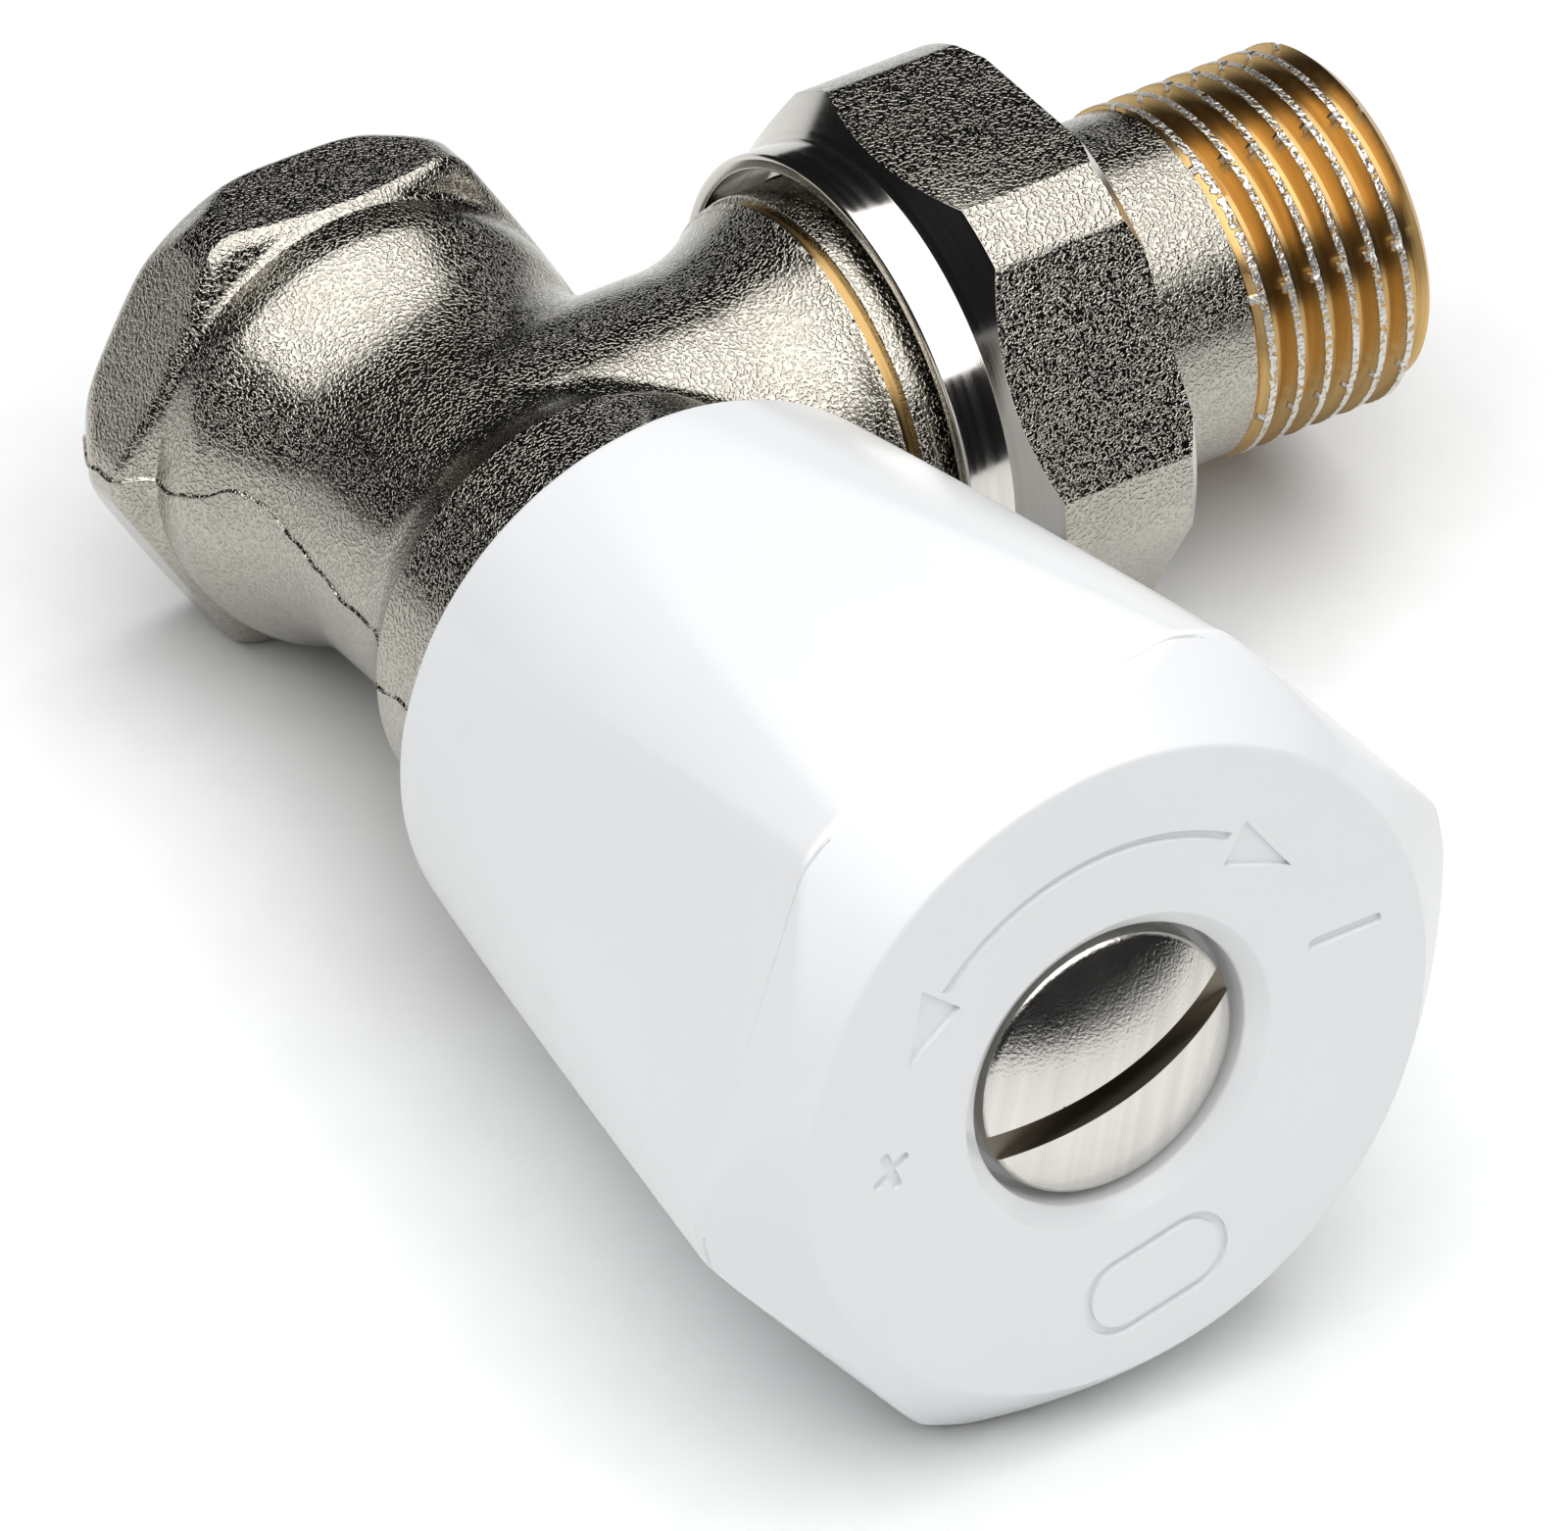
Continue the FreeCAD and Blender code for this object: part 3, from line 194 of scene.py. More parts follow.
class WheelSizes(PropertyGroup):
    """Sizes of the hand wheel and its screw."""
    rear: crossing_to("Rear", "the wheel's rear rim", 17)
    rear_radius: length("Rear radius", "Radius of the wheel's rear rim", 17)
    ridge: crossing_to("Ridge", "the wheel's corner ridges", 56.5)
    ridge_radius: length("Ridge radius", "Radius of the wheel's corner ridges", 23.6)
    flat_rear: length("Flat at rear", "Axis to a flat at the rear rim", 17)
    flat_front: length("Flat at front", "Axis to a flat at the ridges", 21.2)
    flat_round: length("Flat rounding", "Radius in section that rounds a flat over to the face", 5)
    flat_touch: length("Flat touch", "Gap between that rounding and the face's circle", 0.14)
    front: crossing_to("Front", "the wheel's front face", 61)
    face_radius: length("Face radius", "Radius of the front face", 19.2)
    brow_edge: length("Brow edge", "Rounding of the sloping corners' edges in section", 0.5)
    turn: angle("Turn", "Angle of a wheel flat", 38.5)
    soft_edge: length("Soft edge", "Softness of the moulding's ridges", 0.3)
    seam: crossing_to("Seam", "the fine moulding seam on the flats", 56.8)
    seam_depth: length("Seam depth", "Depth of that seam", 0.24)
    wall: length("Wall", "Wall of the skirt at the rear rim", 1.8)
    hollow_front: length("Hollow front", "Radius of the hollow at its front end", 17.4)
    front_wall: length("Front wall", "Thickness of the front wall", 5)
    hub_radius: length("Hub radius", "Wheel hub radius", 7.5)
    hub_reach: crossing_to("Hub reach", "the hub's end", 43)
    square: length("Square", "Square drive across flats", 6.3)
    square_length: length("Square length", "Length of the square socket", 10.5)
    rib_thickness: length("Rib thickness", "Thickness of the ribs in the hollow", 1.6)
    rib_length: length("Rib length", "Length of the ribs along the axis", 9)
    recess_radius: length("Recess radius", "Radius of the recess in the face", 9.5)
    recess_depth: length("Recess depth", "Depth of that recess", 3.2)
    recess_edge: length("Recess edge", "Rounding of the recess's edge", 0.3)
    recess_lip: length("Recess lip", "Depth of the sloping lip inside that edge", 0.9)
    recess_wall: length("Recess wall", "Radius of the recess below its lip", 8.4)
    mark_depth: length("Mark depth", "Depth of the sunk marks", 0.28)
    mark_radius: length("Mark radius", "Radius of the turning arrow", 14)
    mark_width: length("Mark width", "Width of the arrow's line", 0.55)
    screw_head: length("Screw head", "Screw head radius", 7.7)
    screw_edge: length("Screw edge", "Height of the screw head's edge", 2.2)
    screw_dome: length("Screw dome", "Height of the screw head's dome", 2.0)
    screw_slot: length("Screw slot", "Width of the screw's slot", 1.8)
    slot_depth: length("Slot depth", "Depth of the screw's slot", 2.2)
    slot_turn: angle("Slot turn", "Angle of the slot", 19)
    shank_radius: length("Shank radius", "Screw shank radius", 1.95)
    shank_length: length("Shank length", "Screw shank length", 12)


class Finishes(PropertyGroup):
    """Colours of the valve's finishes."""
    nickel: tint("Nickel", "Nickel plate on the forging", (0.46, 0.435, 0.38))
    bright: tint("Bright nickel", "Nickel plate on turned faces", (0.66, 0.635, 0.59))
    brass: tint("Brass", "Bare machined brass", (0.55, 0.36, 0.145))
    plastic: tint("White plastic", "Moulded hand wheel", (0.86, 0.872, 0.885))
    rubber: tint("Rubber", "Seal rings and disc", (0.02, 0.02, 0.02))
    polymer: tint("Polymer", "Gland ring", (0.82, 0.81, 0.78))
    steel: tint("Spring steel", "Snap ring", (0.42, 0.42, 0.44))
    floor: tint("Floor", "Pale ground", (0.93, 0.94, 0.94))


class StageSizes(PropertyGroup):
    """Camera, ground and lights."""
    azimuth: angle("Azimuth", "Camera's angle round the valve", -31.10)
    elevation: angle("Elevation", "Camera's angle above the horizon", 34.86)
    roll: angle("Roll", "Camera's roll", -2.45)
    focal_pixels: share("Focal length", "Camera's focal length in photograph pixels", 18116)
    camera_x: length("Camera X", "Camera's place from the axes crossing", -400.1)
    camera_y: length("Camera Y", "Camera's place from the axes crossing", -691.9)
    camera_z: length("Camera Z", "Camera's place from the axes crossing", 540.6)
    floor_tilt: angle("Floor tilt", "Slope of the ground that the valve lies on", 7.25)
    floor_drop: length("Floor drop", "Axes crossing down to the ground", 15.7)
    floor_size: length("Floor size", "Half side of the ground", 420)
    sky_height: length("Sky height", "Height of the overhead softbox", 600)
    sky_width: length("Sky width", "Width of the softbox across the valve", 1180)
    sky_depth: length("Sky depth", "Width of the softbox along the valve", 1220)
    sky_power: share("Sky power", "Power of the overhead softbox in watts", 11.1)
    sky_x: crossing_to("Sky X", "the softbox's middle", -55)
    sky_y: crossing_to("Sky Y", "the softbox's middle", -330)


# Section and mesh helpers


def around(centre, start, end, steps):
    """Points on the arc about a centre from start to end, both included."""
    first = start - centre
    last = end - centre
    sweep = math.atan2(first.cross(last), first.dot(last))
    return [centre + Matrix.Rotation(sweep * step / steps, 2) @ first for step in range(steps + 1)]


def arc(start, end, radius, steps=12):
    """Arc from start to end; a positive radius bulges to the right of the way there."""
    start = Vector(start)
    end = Vector(end)
    chord = end - start
    right = Vector((chord.y, -chord.x)).normalized()
    drop = math.sqrt(radius * radius - chord.length_squared / 4)
    centre = (start + end) / 2 - right * math.copysign(drop, radius)
    return around(centre, start, end, steps)


def rounded(corners, steps=5):
    """Closed outline through corners (a, b), or (a, b, rounding) for a rounded one."""
    points = []
    for index, corner in enumerate(corners):
        spot = Vector(corner[:2])
        if len(corner) == 2:
            points.append(spot)
            continue
        back = (Vector(corners[index - 1][:2]) - spot).normalized()
        ahead = (Vector(corners[(index + 1) % len(corners)][:2]) - spot).normalized()
        half = back.angle(ahead) / 2
        centre = spot + (back + ahead).normalized() * corner[2] / math.sin(half)
        reach = corner[2] / math.tan(half)
        points += around(centre, spot + back * reach, spot + ahead * reach, steps)
    return points


def rows(start, end, count):
    """Points between two corners of a section, without the corners themselves."""
    start = Vector(start)
    end = Vector(end)
    return [start.lerp(end, step / (count + 1)) for step in range(1, count + 1)]


def clean(bm):
    """Merge doubles, drop what has no area and turn all faces outwards."""
    bmesh.ops.remove_doubles(bm, verts=bm.verts, dist=MERGE)
    bmesh.ops.dissolve_degenerate(bm, dist=MERGE, edges=bm.edges)
    bmesh.ops.recalc_face_normals(bm, faces=bm.faces)


def everything(bm):
    """All verts, edges and faces of a mesh."""
    return bm.verts[:] + bm.edges[:] + bm.faces[:]


def verts_in(geometry):
    """The verts among mixed parts of a mesh."""
    return [item for item in geometry if isinstance(item, bmesh.types.BMVert)]


def section_point(along, radius, axis):
    """A point of a section (along the axis, off the axis) in the plane of both axes."""
    return (along, radius, 0) if axis == "X" else (radius, along, 0)


def turned(section, axis, steps, closed=True, material=0):
    """New solid: a section (along, radius) revolved about X or Y."""
    bm = bmesh.new()
    verts = [bm.verts.new(section_point(*spot, axis)) for spot in section]
    pairs = list(zip(verts, verts[1:]))
    if closed:
        pairs.append((verts[-1], verts[0]))
    edges = [bm.edges.new(pair) for pair in pairs]
    bmesh.ops.spin(bm, geom=verts + edges, cent=(0, 0, 0), axis=AXIS[axis], angle=FULL_TURN,
                   steps=steps, use_merge=True)
    clean(bm)
    paint(bm, material)
    return bm


def prism(corners, axis, low, high, material=0):
    """New solid: a flat outline (u, v) pushed along an axis from low to high."""
    places = {"X": lambda u, v: (low, u, v), "Y": lambda u, v: (u, low, v),
              "Z": lambda u, v: (u, v, low)}
    bm = bmesh.new()
    face = bm.faces.new([bm.verts.new(places[axis](*corner)) for corner in corners])
    pushed = bmesh.ops.extrude_face_region(bm, geom=[face])["geom"]
    bmesh.ops.translate(bm, verts=verts_in(pushed), vec=AXIS[axis] * (high - low))
    clean(bm)
    paint(bm, material)
    return bm


def regular(sides, inradius, turn=0):
    """Corners of a regular polygon, the first one at the turn angle."""
    radius = inradius / math.cos(math.pi / sides)
    return [(radius * math.cos(turn + FULL_TURN * step / sides),
             radius * math.sin(turn + FULL_TURN * step / sides)) for step in range(sides)]


def rectangle(half_width, half_height):
    """Corners of a rectangle about the axis."""
    return [(-half_width, -half_height), (half_width, -half_height), (half_width, half_height),
            (-half_width, half_height)]


def paint(bm, material):
    """Give every face one material number."""
    for face in bm.faces:
        face.material_index = material


def turn_about(bm, axis, angle_about):
    """Turn a whole mesh about an axis through the crossing."""
    bmesh.ops.rotate(bm, verts=bm.verts, cent=(0, 0, 0),
                     matrix=Matrix.Rotation(angle_about, 3, AXIS[axis]))


def mesh_of(bm, name):
    """New mesh from an edit mesh, which is used up."""
    mesh = bpy.data.meshes.new(name)
    bm.to_mesh(mesh)
    bm.free()
    return mesh


def placed(name, data):
    """New object in the scene for a mesh, a lamp or a camera."""
    item = bpy.data.objects.new(name, data)
    bpy.context.scene.collection.objects.link(item)
    return item


def discard(item):
    """Remove a scratch object and its mesh."""
    mesh = item.data
    bpy.data.objects.remove(item)
    bpy.data.meshes.remove(mesh)


def absorb(bm, other):
    """Add another mesh's shells to this one."""
    mesh = mesh_of(other, "shell")
    bm.from_mesh(mesh)
    bpy.data.meshes.remove(mesh)


def bench_object(bm, name):
    """Put a mesh on a scratch object, with room for material numbers."""
    mesh = mesh_of(bm, name)
    for _ in range(BENCH_SLOTS):
        mesh.materials.append(None)
    return placed(name, mesh)


def off_the_bench(item):
    """Take the finished mesh from a scratch object and remove the object."""
    result = bmesh.new()
    result.from_object(item, bpy.context.evaluated_depsgraph_get())
    discard(item)
    return result


def combined(base, tool, operation):
    """Boolean of two solids; faces keep their material numbers."""
    target = bench_object(base, "bench_base")
    cutter = bench_object(tool, "bench_tool")
    step = target.modifiers.new("combine", "BOOLEAN")
    step.operation = operation
    step.solver = "MANIFOLD"
    step.material_mode = "INDEX"
    step.object = cutter
    result = off_the_bench(target)
    discard(cutter)
    return result


def skinned(bm, voxel):
    """One even skin round several overlapping solids."""
    target = bench_object(bm, "bench_skin")
    step = target.modifiers.new("skin", "REMESH")
    step.mode = "VOXEL"
    step.voxel_size = voxel
    step.adaptivity = 0
    return off_the_bench(target)


def soft_min(first, second, softness):
    """The smaller of two lengths, with a soft change from one to the other."""
    overlap = max(softness - abs(first - second), 0) / softness
    return min(first, second) - overlap * overlap * softness / 4


def soft_max(first, second, softness):
    """The larger of two lengths, with a soft change from one to the other."""
    return -soft_min(-first, -second, softness)


def radius_of(point, axis):
    """Distance of a point from the X or the Y axis."""
    return math.hypot(point.y, point.z) if axis == "X" else math.hypot(point.x, point.z)


def set_radius(vert, radius, axis):
    """Move a vertex straight in or out to a distance from the X or the Y axis."""
    scale = radius / radius_of(vert.co, axis)
    if axis == "X":
        vert.co.y *= scale
    else:
        vert.co.x *= scale
    vert.co.z *= scale


def thread_sleeve(axis, low, high, crest, depth, pitch, crest_width, wall, steps=180, shape=None):
    """Closed sleeve with a right-hand thread on one side and a plain wall on the other.

    A depth below zero cuts the thread into a bore. shape(vert) may trim the thread's ends.
    """
    root = crest - depth
    flank = (pitch - crest_width) * FLANK_SHARE
    foot = flank * FOOT_START
    floor = flank * FOOT_END
    rise = root + depth * FOOT_RISE
    section = [(0, crest), (crest_width, crest), (crest_width + foot, rise),
               (crest_width + floor, root), (pitch - floor, root), (pitch - foot, rise), (pitch, crest)]
    turns = math.ceil((high - low) / pitch) + 2 * SPARE_TURNS
    bm = bmesh.new()
    # The first full groove's middle stands half a pitch past the low end, as in the solid
    start = low - crest_width / 2 - pitch * SPARE_TURNS
    verts = [bm.verts.new(section_point(start + along, radius, axis)) for along, radius in section]
    edges = [bm.edges.new(pair) for pair in zip(verts, verts[1:])]
    bmesh.ops.spin(bm, geom=verts + edges, cent=(0, 0, 0), axis=AXIS[axis],
                   dvec=AXIS[axis] * (pitch / steps), angle=FULL_TURN, steps=steps)
    one_turn = everything(bm)
    for turn in range(1, turns):
        copy = bmesh.ops.duplicate(bm, geom=one_turn)["geom"]
        bmesh.ops.translate(bm, verts=verts_in(copy), vec=AXIS[axis] * (pitch * turn))
    bmesh.ops.remove_doubles(bm, verts=bm.verts, dist=MERGE)
    for reach, side in ((low, -1), (high, 1)):
        bmesh.ops.bisect_plane(bm, geom=everything(bm), dist=MERGE, plane_co=AXIS[axis] * reach,
                               plane_no=AXIS[axis] * side, clear_outer=True)
    if shape:
        for vert in bm.verts:
            shape(vert)
    inner = []
    for reach in (low, high):
        rim = [edge for edge in bm.edges if edge.is_boundary
               and all(abs(vert.co.dot(AXIS[axis]) - reach) < NEAR for vert in edge.verts)]
        grown = bmesh.ops.extrude_edge_only(bm, edges=rim)["geom"]
        for vert in verts_in(grown):
            set_radius(vert, wall, axis)
        inner += [item for item in grown if isinstance(item, bmesh.types.BMEdge) and item.is_boundary]
    bmesh.ops.bridge_loops(bm, edges=inner)
    clean(bm)
    return bm


def finish_piece(name, bm, materials, body, node, bevel=None):
    """Set a mesh at its place in the frame, as a piece that stands for one CAD node."""
    bmesh.ops.translate(bm, verts=bm.verts, vec=CROSSING)
    mesh = mesh_of(bm, name)
    for material in materials:
        mesh.materials.append(bpy.data.materials[material])
    mesh.shade_smooth()
    mesh.set_sharp_from_angle(angle=SHARP_ANGLE)
    piece = placed(name, mesh)
    if bevel:
        step = piece.modifiers.new("soft edges", "BEVEL")
        step.width = bevel
        step.segments = 2
        step.limit_method = "ANGLE"
        step.angle_limit = SHARP_ANGLE
        step.harden_normals = True
    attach(piece, body)
    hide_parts(node)


# Materials


def add_node(tree, kind, **settings):
    """New shader node with some of its settings."""
    item = tree.nodes.new(kind)
    for key, value in settings.items():
        setattr(item, key, value)
    return item


def feed(tree, target, source):
    """Give a socket a value, or link another socket to it."""
    if isinstance(source, bpy.types.NodeSocket):
        tree.links.new(source, target)
    else:
        target.default_value = source


def math_node(tree, operation, first, second=None):
    """Math node; each side is a number or a socket."""
    item = add_node(tree, "ShaderNodeMath", operation=operation)
    feed(tree, item.inputs[0], first)
    if second is not None:
        feed(tree, item.inputs[1], second)
    return item.outputs[0]


def noise(tree, vector, scale, detail=2.0, flat=False):
    """Noise texture on a vector, or on one number if flat."""
    item = add_node(tree, "ShaderNodeTexNoise", noise_dimensions="1D" if flat else "3D")
    feed(tree, item.inputs["W" if flat else "Vector"], vector)
    feed(tree, item.inputs["Scale"], scale)
    item.inputs["Detail"].default_value = detail
    return item.outputs["Fac"]


def mapped(tree, value, low=NOISE_LOW, high=NOISE_HIGH, to_low=0.0, to_high=1.0):
    """Map a value from one range to another, clamped."""
    item = add_node(tree, "ShaderNodeMapRange")
    for socket, source in zip(item.inputs, (value, low, high, to_low, to_high)):
        feed(tree, socket, source)
    return item.outputs[0]


def mixed(tree, factor, first, second):
    """Mix of two colours, each a colour or a socket."""
    item = add_node(tree, "ShaderNodeMix", data_type="RGBA")
    feed(tree, item.inputs[0], factor)
    feed(tree, item.inputs[6], first)
    feed(tree, item.inputs[7], second)
    return item.outputs[2]


def distance(tree, first, second):
    """Distance of a point from an axis, by its two steps off that axis."""
    squares = [math_node(tree, "MULTIPLY", step, step) for step in (first, second)]
    return math_node(tree, "SQRT", math_node(tree, "ADD", *squares))


def rgba(colour, scale=1.0):
    """Colour with full alpha, made lighter or darker."""
    return tuple(min(1.0, channel * scale) for channel in colour) + (1.0,)


def new_group(name, inputs, outputs):
    """Empty shader node group with float inputs (name, default) and float outputs."""
    group = bpy.data.node_groups.new(name, "ShaderNodeTree")
    for label, default in inputs:
        socket = group.interface.new_socket(label, in_out="INPUT", socket_type="NodeSocketFloat")
        socket.default_value = default
    for label in outputs:
        group.interface.new_socket(label, in_out="OUTPUT", socket_type="NodeSocketFloat")
    return group, group.nodes.new("NodeGroupInput"), group.nodes.new("NodeGroupOutput")


def pearl_grain_group():
    """Blasted grain under a plate: flat-topped pebbles with finer grit on them."""
    group, entry, result = new_group("Pearl grain", [("Scale", 2400.0), ("Grit", 0.35)],
                                     ["Height", "Rough", "Fleck"])
    place = add_node(group, "ShaderNodeTexCoord").outputs["Object"]
    pebbles = noise(group, place, entry.outputs["Scale"], detail=1.0)
    fine_scale = math_node(group, "MULTIPLY", entry.outputs["Scale"], 2.6)
    grit = noise(group, place, fine_scale, detail=2.0)
    weighted = math_node(group, "MULTIPLY", grit, entry.outputs["Grit"])
    stepped = mapped(group, pebbles, 0.42, 0.58)
    feed(group, result.inputs["Height"], math_node(group, "ADD", stepped, weighted))
    feed(group, result.inputs["Rough"], math_node(group, "ADD", pebbles, weighted))
    patches = noise(group, place, 160.0, detail=3.0)
    feed(group, result.inputs["Fleck"], patches)


def lathe_lines_group():
    """Fine lines of a lathe tool along one axis, with a slow waver."""
    group, entry, result = new_group("Lathe lines", [("Along", 0.0), ("Lines", 9000.0)],
                                     ["Height", "Streak"])
    lines = noise(group, entry.outputs["Along"], entry.outputs["Lines"], detail=3.0, flat=True)
    slow = math_node(group, "MULTIPLY", entry.outputs["Lines"], 0.21)
    streak = noise(group, entry.outputs["Along"], slow, detail=2.0, flat=True)
    feed(group, result.inputs["Height"], lines)
    feed(group, result.inputs["Streak"], streak)


class Finish:
    """A new material with its Principled shader and an empty chain to its normal."""

    def __init__(self, name, **constants):
        self.material = bpy.data.materials.new(name)
        self.material.use_nodes = True
        self.tree = self.material.node_tree
        self.shader = self.tree.nodes["Principled BSDF"]
        for key, value in constants.items():
            self.shader.inputs[key].default_value = value

    def set(self, socket, source):
        """Feed one input of the shader."""
        feed(self.tree, self.shader.inputs[socket], source)

    def spot(self):
        """Object coordinates."""
        return add_node(self.tree, "ShaderNodeTexCoord").outputs["Object"]

    def place(self):
        """Object coordinates counted from the axes crossing, as X, Y and Z."""
        shift = add_node(self.tree, "ShaderNodeVectorMath", operation="SUBTRACT")
        feed(self.tree, shift.inputs[0], self.spot())
        shift.inputs[1].default_value = CROSSING
        split = add_node(self.tree, "ShaderNodeSeparateXYZ")
        feed(self.tree, split.inputs[0], shift.outputs[0])
        return split.outputs

    def group(self, name, **values):
        """Place a shared node group with its own values."""
        item = add_node(self.tree, "ShaderNodeGroup", node_tree=bpy.data.node_groups[name])
        for key, value in values.items():
            feed(self.tree, item.inputs[key], value)
        return item.outputs

    def bump(self, height, depth, under=None):
        """Bump from a height, on top of another bump's normal, into the shader."""
        item = add_node(self.tree, "ShaderNodeBump")
        item.inputs["Strength"].default_value = 1.0
        item.inputs["Distance"].default_value = depth
        feed(self.tree, item.inputs["Height"], height)
        if under is not None:
            feed(self.tree, item.inputs["Normal"], under)
        self.set("Normal", item.outputs[0])
        return item.outputs[0]

    def shaded(self, mask, colour, dark, light):
        """A colour that a mask takes from dark to light."""
        return mixed(self.tree, mask, rgba(colour, dark), rgba(colour, light))

    def rough(self, value, low, high):
        """Roughness that a noise value takes from low to high."""
        self.set("Roughness", mapped(self.tree, value, to_low=low, to_high=high))


def grained_nickel(name, colour, scale, depth, roughness):
    """Nickel plate on a blasted forging, with painted shade in its pits."""
    finish = Finish(name, Metallic=1.0)
    tree = finish.tree
    grain = finish.group("Pearl grain", Scale=scale)
    finish.bump(grain["Height"], depth)
    plate = finish.shaded(mapped(tree, grain["Fleck"], 0.35, 0.65), colour, 0.93, 1.05)
    # Base colour falls to 0.72 of the plate where the grain is low: painted shade in the pits
    clear_of_pit_shade = mapped(tree, grain["Rough"], 0.53, 0.68)
    finish.set("Base Color", mixed(tree, clear_of_pit_shade, rgba(colour, 0.72), plate))
    finish.rough(grain["Fleck"], roughness * 0.85, roughness * 1.2)


def turned_metal(name, colour, axis, roughness, depth=2.0e-6, lines=9000.0):
    """Metal with lathe lines about the X or the Y axis."""
    finish = Finish(name, Metallic=1.0)
    marks = finish.group("Lathe lines", Along=finish.place()[axis], Lines=lines)
    finish.bump(marks["Height"], depth)
    finish.set("Base Color", finish.shaded(mapped(finish.tree, marks["Streak"]), colour, 0.92, 1.04))
    finish.rough(marks["Streak"], roughness * 0.8, roughness * 1.25)


def thread_metal(colours, union):
    """Cut thread: brass grooves, and crests that keep the rough nickel plate."""
    finish = Finish("Cut thread", Metallic=1.0)
    tree = finish.tree
    x, y, z = finish.place()
    grain = finish.group("Pearl grain", Scale=3200.0)
    marks = finish.group("Lathe lines", Along=x, Lines=12000.0)
    crest_radius = union.tail_thread
    ragged = math_node(tree, "MULTIPLY", math_node(tree, "SUBTRACT", grain["Rough"], 0.67), 0.00025)
    height = math_node(tree, "ADD", distance(tree, y, z), ragged)
    crest = mapped(tree, height, crest_radius - 0.00004, crest_radius - 0.00001)
    half_row = math.pi / union.notch_rows
    row = math_node(tree, "PINGPONG", math_node(tree, "ARCTAN2", z, y), half_row)
    off_row = math_node(tree, "SUBTRACT", half_row, row)
    in_row = mapped(tree, off_row, 0.018, 0.03, 1.0, 0.0)
    shallow = mapped(tree, height, crest_radius - 0.0004, crest_radius - 0.0003)
    crest = math_node(tree, "MAXIMUM", crest, math_node(tree, "MULTIPLY", in_row, shallow))
    brass = finish.shaded(mapped(tree, marks["Streak"]), colours.brass, 0.8, 1.1)
    finish.set("Base Color", mixed(tree, crest, brass, rgba(colours.bright)))
    finish.set("Roughness", mapped(tree, crest, 0.0, 1.0, 0.25, 0.3))
    lines = finish.bump(marks["Height"], 3.0e-6)
    finish.bump(math_node(tree, "MULTIPLY", grain["Rough"], crest), 0.00012, under=lines)


def white_plastic(colours):
    """Glossy white moulding with a faint flow texture."""
    finish = Finish("White moulding", IOR=1.49)
    spot = finish.spot()
    cloud = noise(finish.tree, spot, 55.0, detail=3.0)
    finish.set("Base Color", finish.shaded(mapped(finish.tree, cloud), colours.plastic, 0.985, 1.01))
    finish.bump(noise(finish.tree, spot, 900.0), 6.0e-6)
    finish.rough(cloud, 0.18, 0.27)


def brushed_screw(colours):
    """Nickel screw head with arcs of a cutter across its dome and grit near the edge."""
    finish = Finish("Screw nickel", Metallic=1.0)
    tree = finish.tree
    place = finish.place()
    swing = distance(tree, math_node(tree, "SUBTRACT", place["X"], 0.016),
                     math_node(tree, "ADD", place["Z"], 0.004))
    marks = finish.group("Lathe lines", Along=swing, Lines=5200.0)
    lines = finish.bump(marks["Height"], 5.0e-6)
    grain = finish.group("Pearl grain", Scale=5200.0)
    finish.bump(grain["Rough"], 1.6e-5, under=lines)
    finish.set("Base Color", finish.shaded(mapped(tree, marks["Streak"]), colours.bright, 0.94, 1.05))
    finish.rough(grain["Fleck"], 0.16, 0.26)


def soft_material(name, colour, roughness, scale, depth, spread=0.15, **constants):
    """Rubber, polymer, spring wire or ground with a fine matt grain."""
    finish = Finish(name, **constants)
    grain = noise(finish.tree, finish.spot(), scale, detail=4.0)
    finish.set("Base Color", finish.shaded(mapped(finish.tree, grain), colour, 1 - spread, 1 + spread))
    finish.rough(grain, roughness * 0.85, roughness * 1.15)
    finish.bump(grain, depth)


# Forged body

COLLAR_EDGE = 0.5 * MM
SOCKET_JOIN = 1.5 * MM
SOCKET_ROWS = 0.12 * MM
# Widths of the neck's blend, as shares of its spread, with the number of smoothing passes
NECK_PASSES = ((1.0, 70), (0.6, 30), (1.4, 14))
NECK_START = 2 * MM
NECK_STOP = 3 * MM
SNAP = 0.06 * MM
# Height of the parting line, and the height and run of its two ripples
FLASH_REST = 0.4 * MM
FLASH_RIPPLES = ((0.16 * MM, 1.1 * MM), (0.1 * MM, 0.45 * MM))
FLASH_SNAP = 0.04 * MM
FLASH_STOP = 0.5 * MM
# Turned end of the branch: its places along the branch, and its radius inside the forging
SPIGOT_START = 15 * MM
SPIGOT_INSIDE = 9 * MM
RING_START = 18.4 * MM
BAND_END = 22.6 * MM
BAND_LIMIT = 22.8 * MM
THREAD_START = 22.9 * MM
CORE_START = 23.2 * MM


def barrel_section(sizes):
    """Outline of the barrel along the spindle axis, from the bonnet seat to its shoulder."""
    blend = sizes.waist_blend + sizes.barrel_blend
    cosine = 1 - (sizes.barrel_radius - sizes.waist_radius) / blend
    sine = math.sqrt(1 - cosine * cosine)
    bend = (sizes.waist_back + sizes.waist_blend * sine,
            sizes.waist_radius + sizes.waist_blend * (1 - cosine))
    ball = (sizes.waist_back + blend * sine, sizes.barrel_radius)
    section = [(-sizes.collar_reach, 0), (-sizes.collar_reach, sizes.collar_radius - COLLAR_EDGE),
               (COLLAR_EDGE - sizes.collar_reach, sizes.collar_radius)]
    section += arc((collar_crease(sizes), sizes.collar_radius),
                   (-sizes.waist_front, sizes.waist_radius), sizes.collar_flare)
    section += arc((sizes.waist_back, sizes.waist_radius), bend, sizes.waist_blend)
    section += arc(bend, ball, -sizes.barrel_blend)[1:]
    section += [(sizes.barrel_shoulder, sizes.barrel_radius), (sizes.barrel_shoulder, 0)]
    return [Vector(spot) for spot in section]


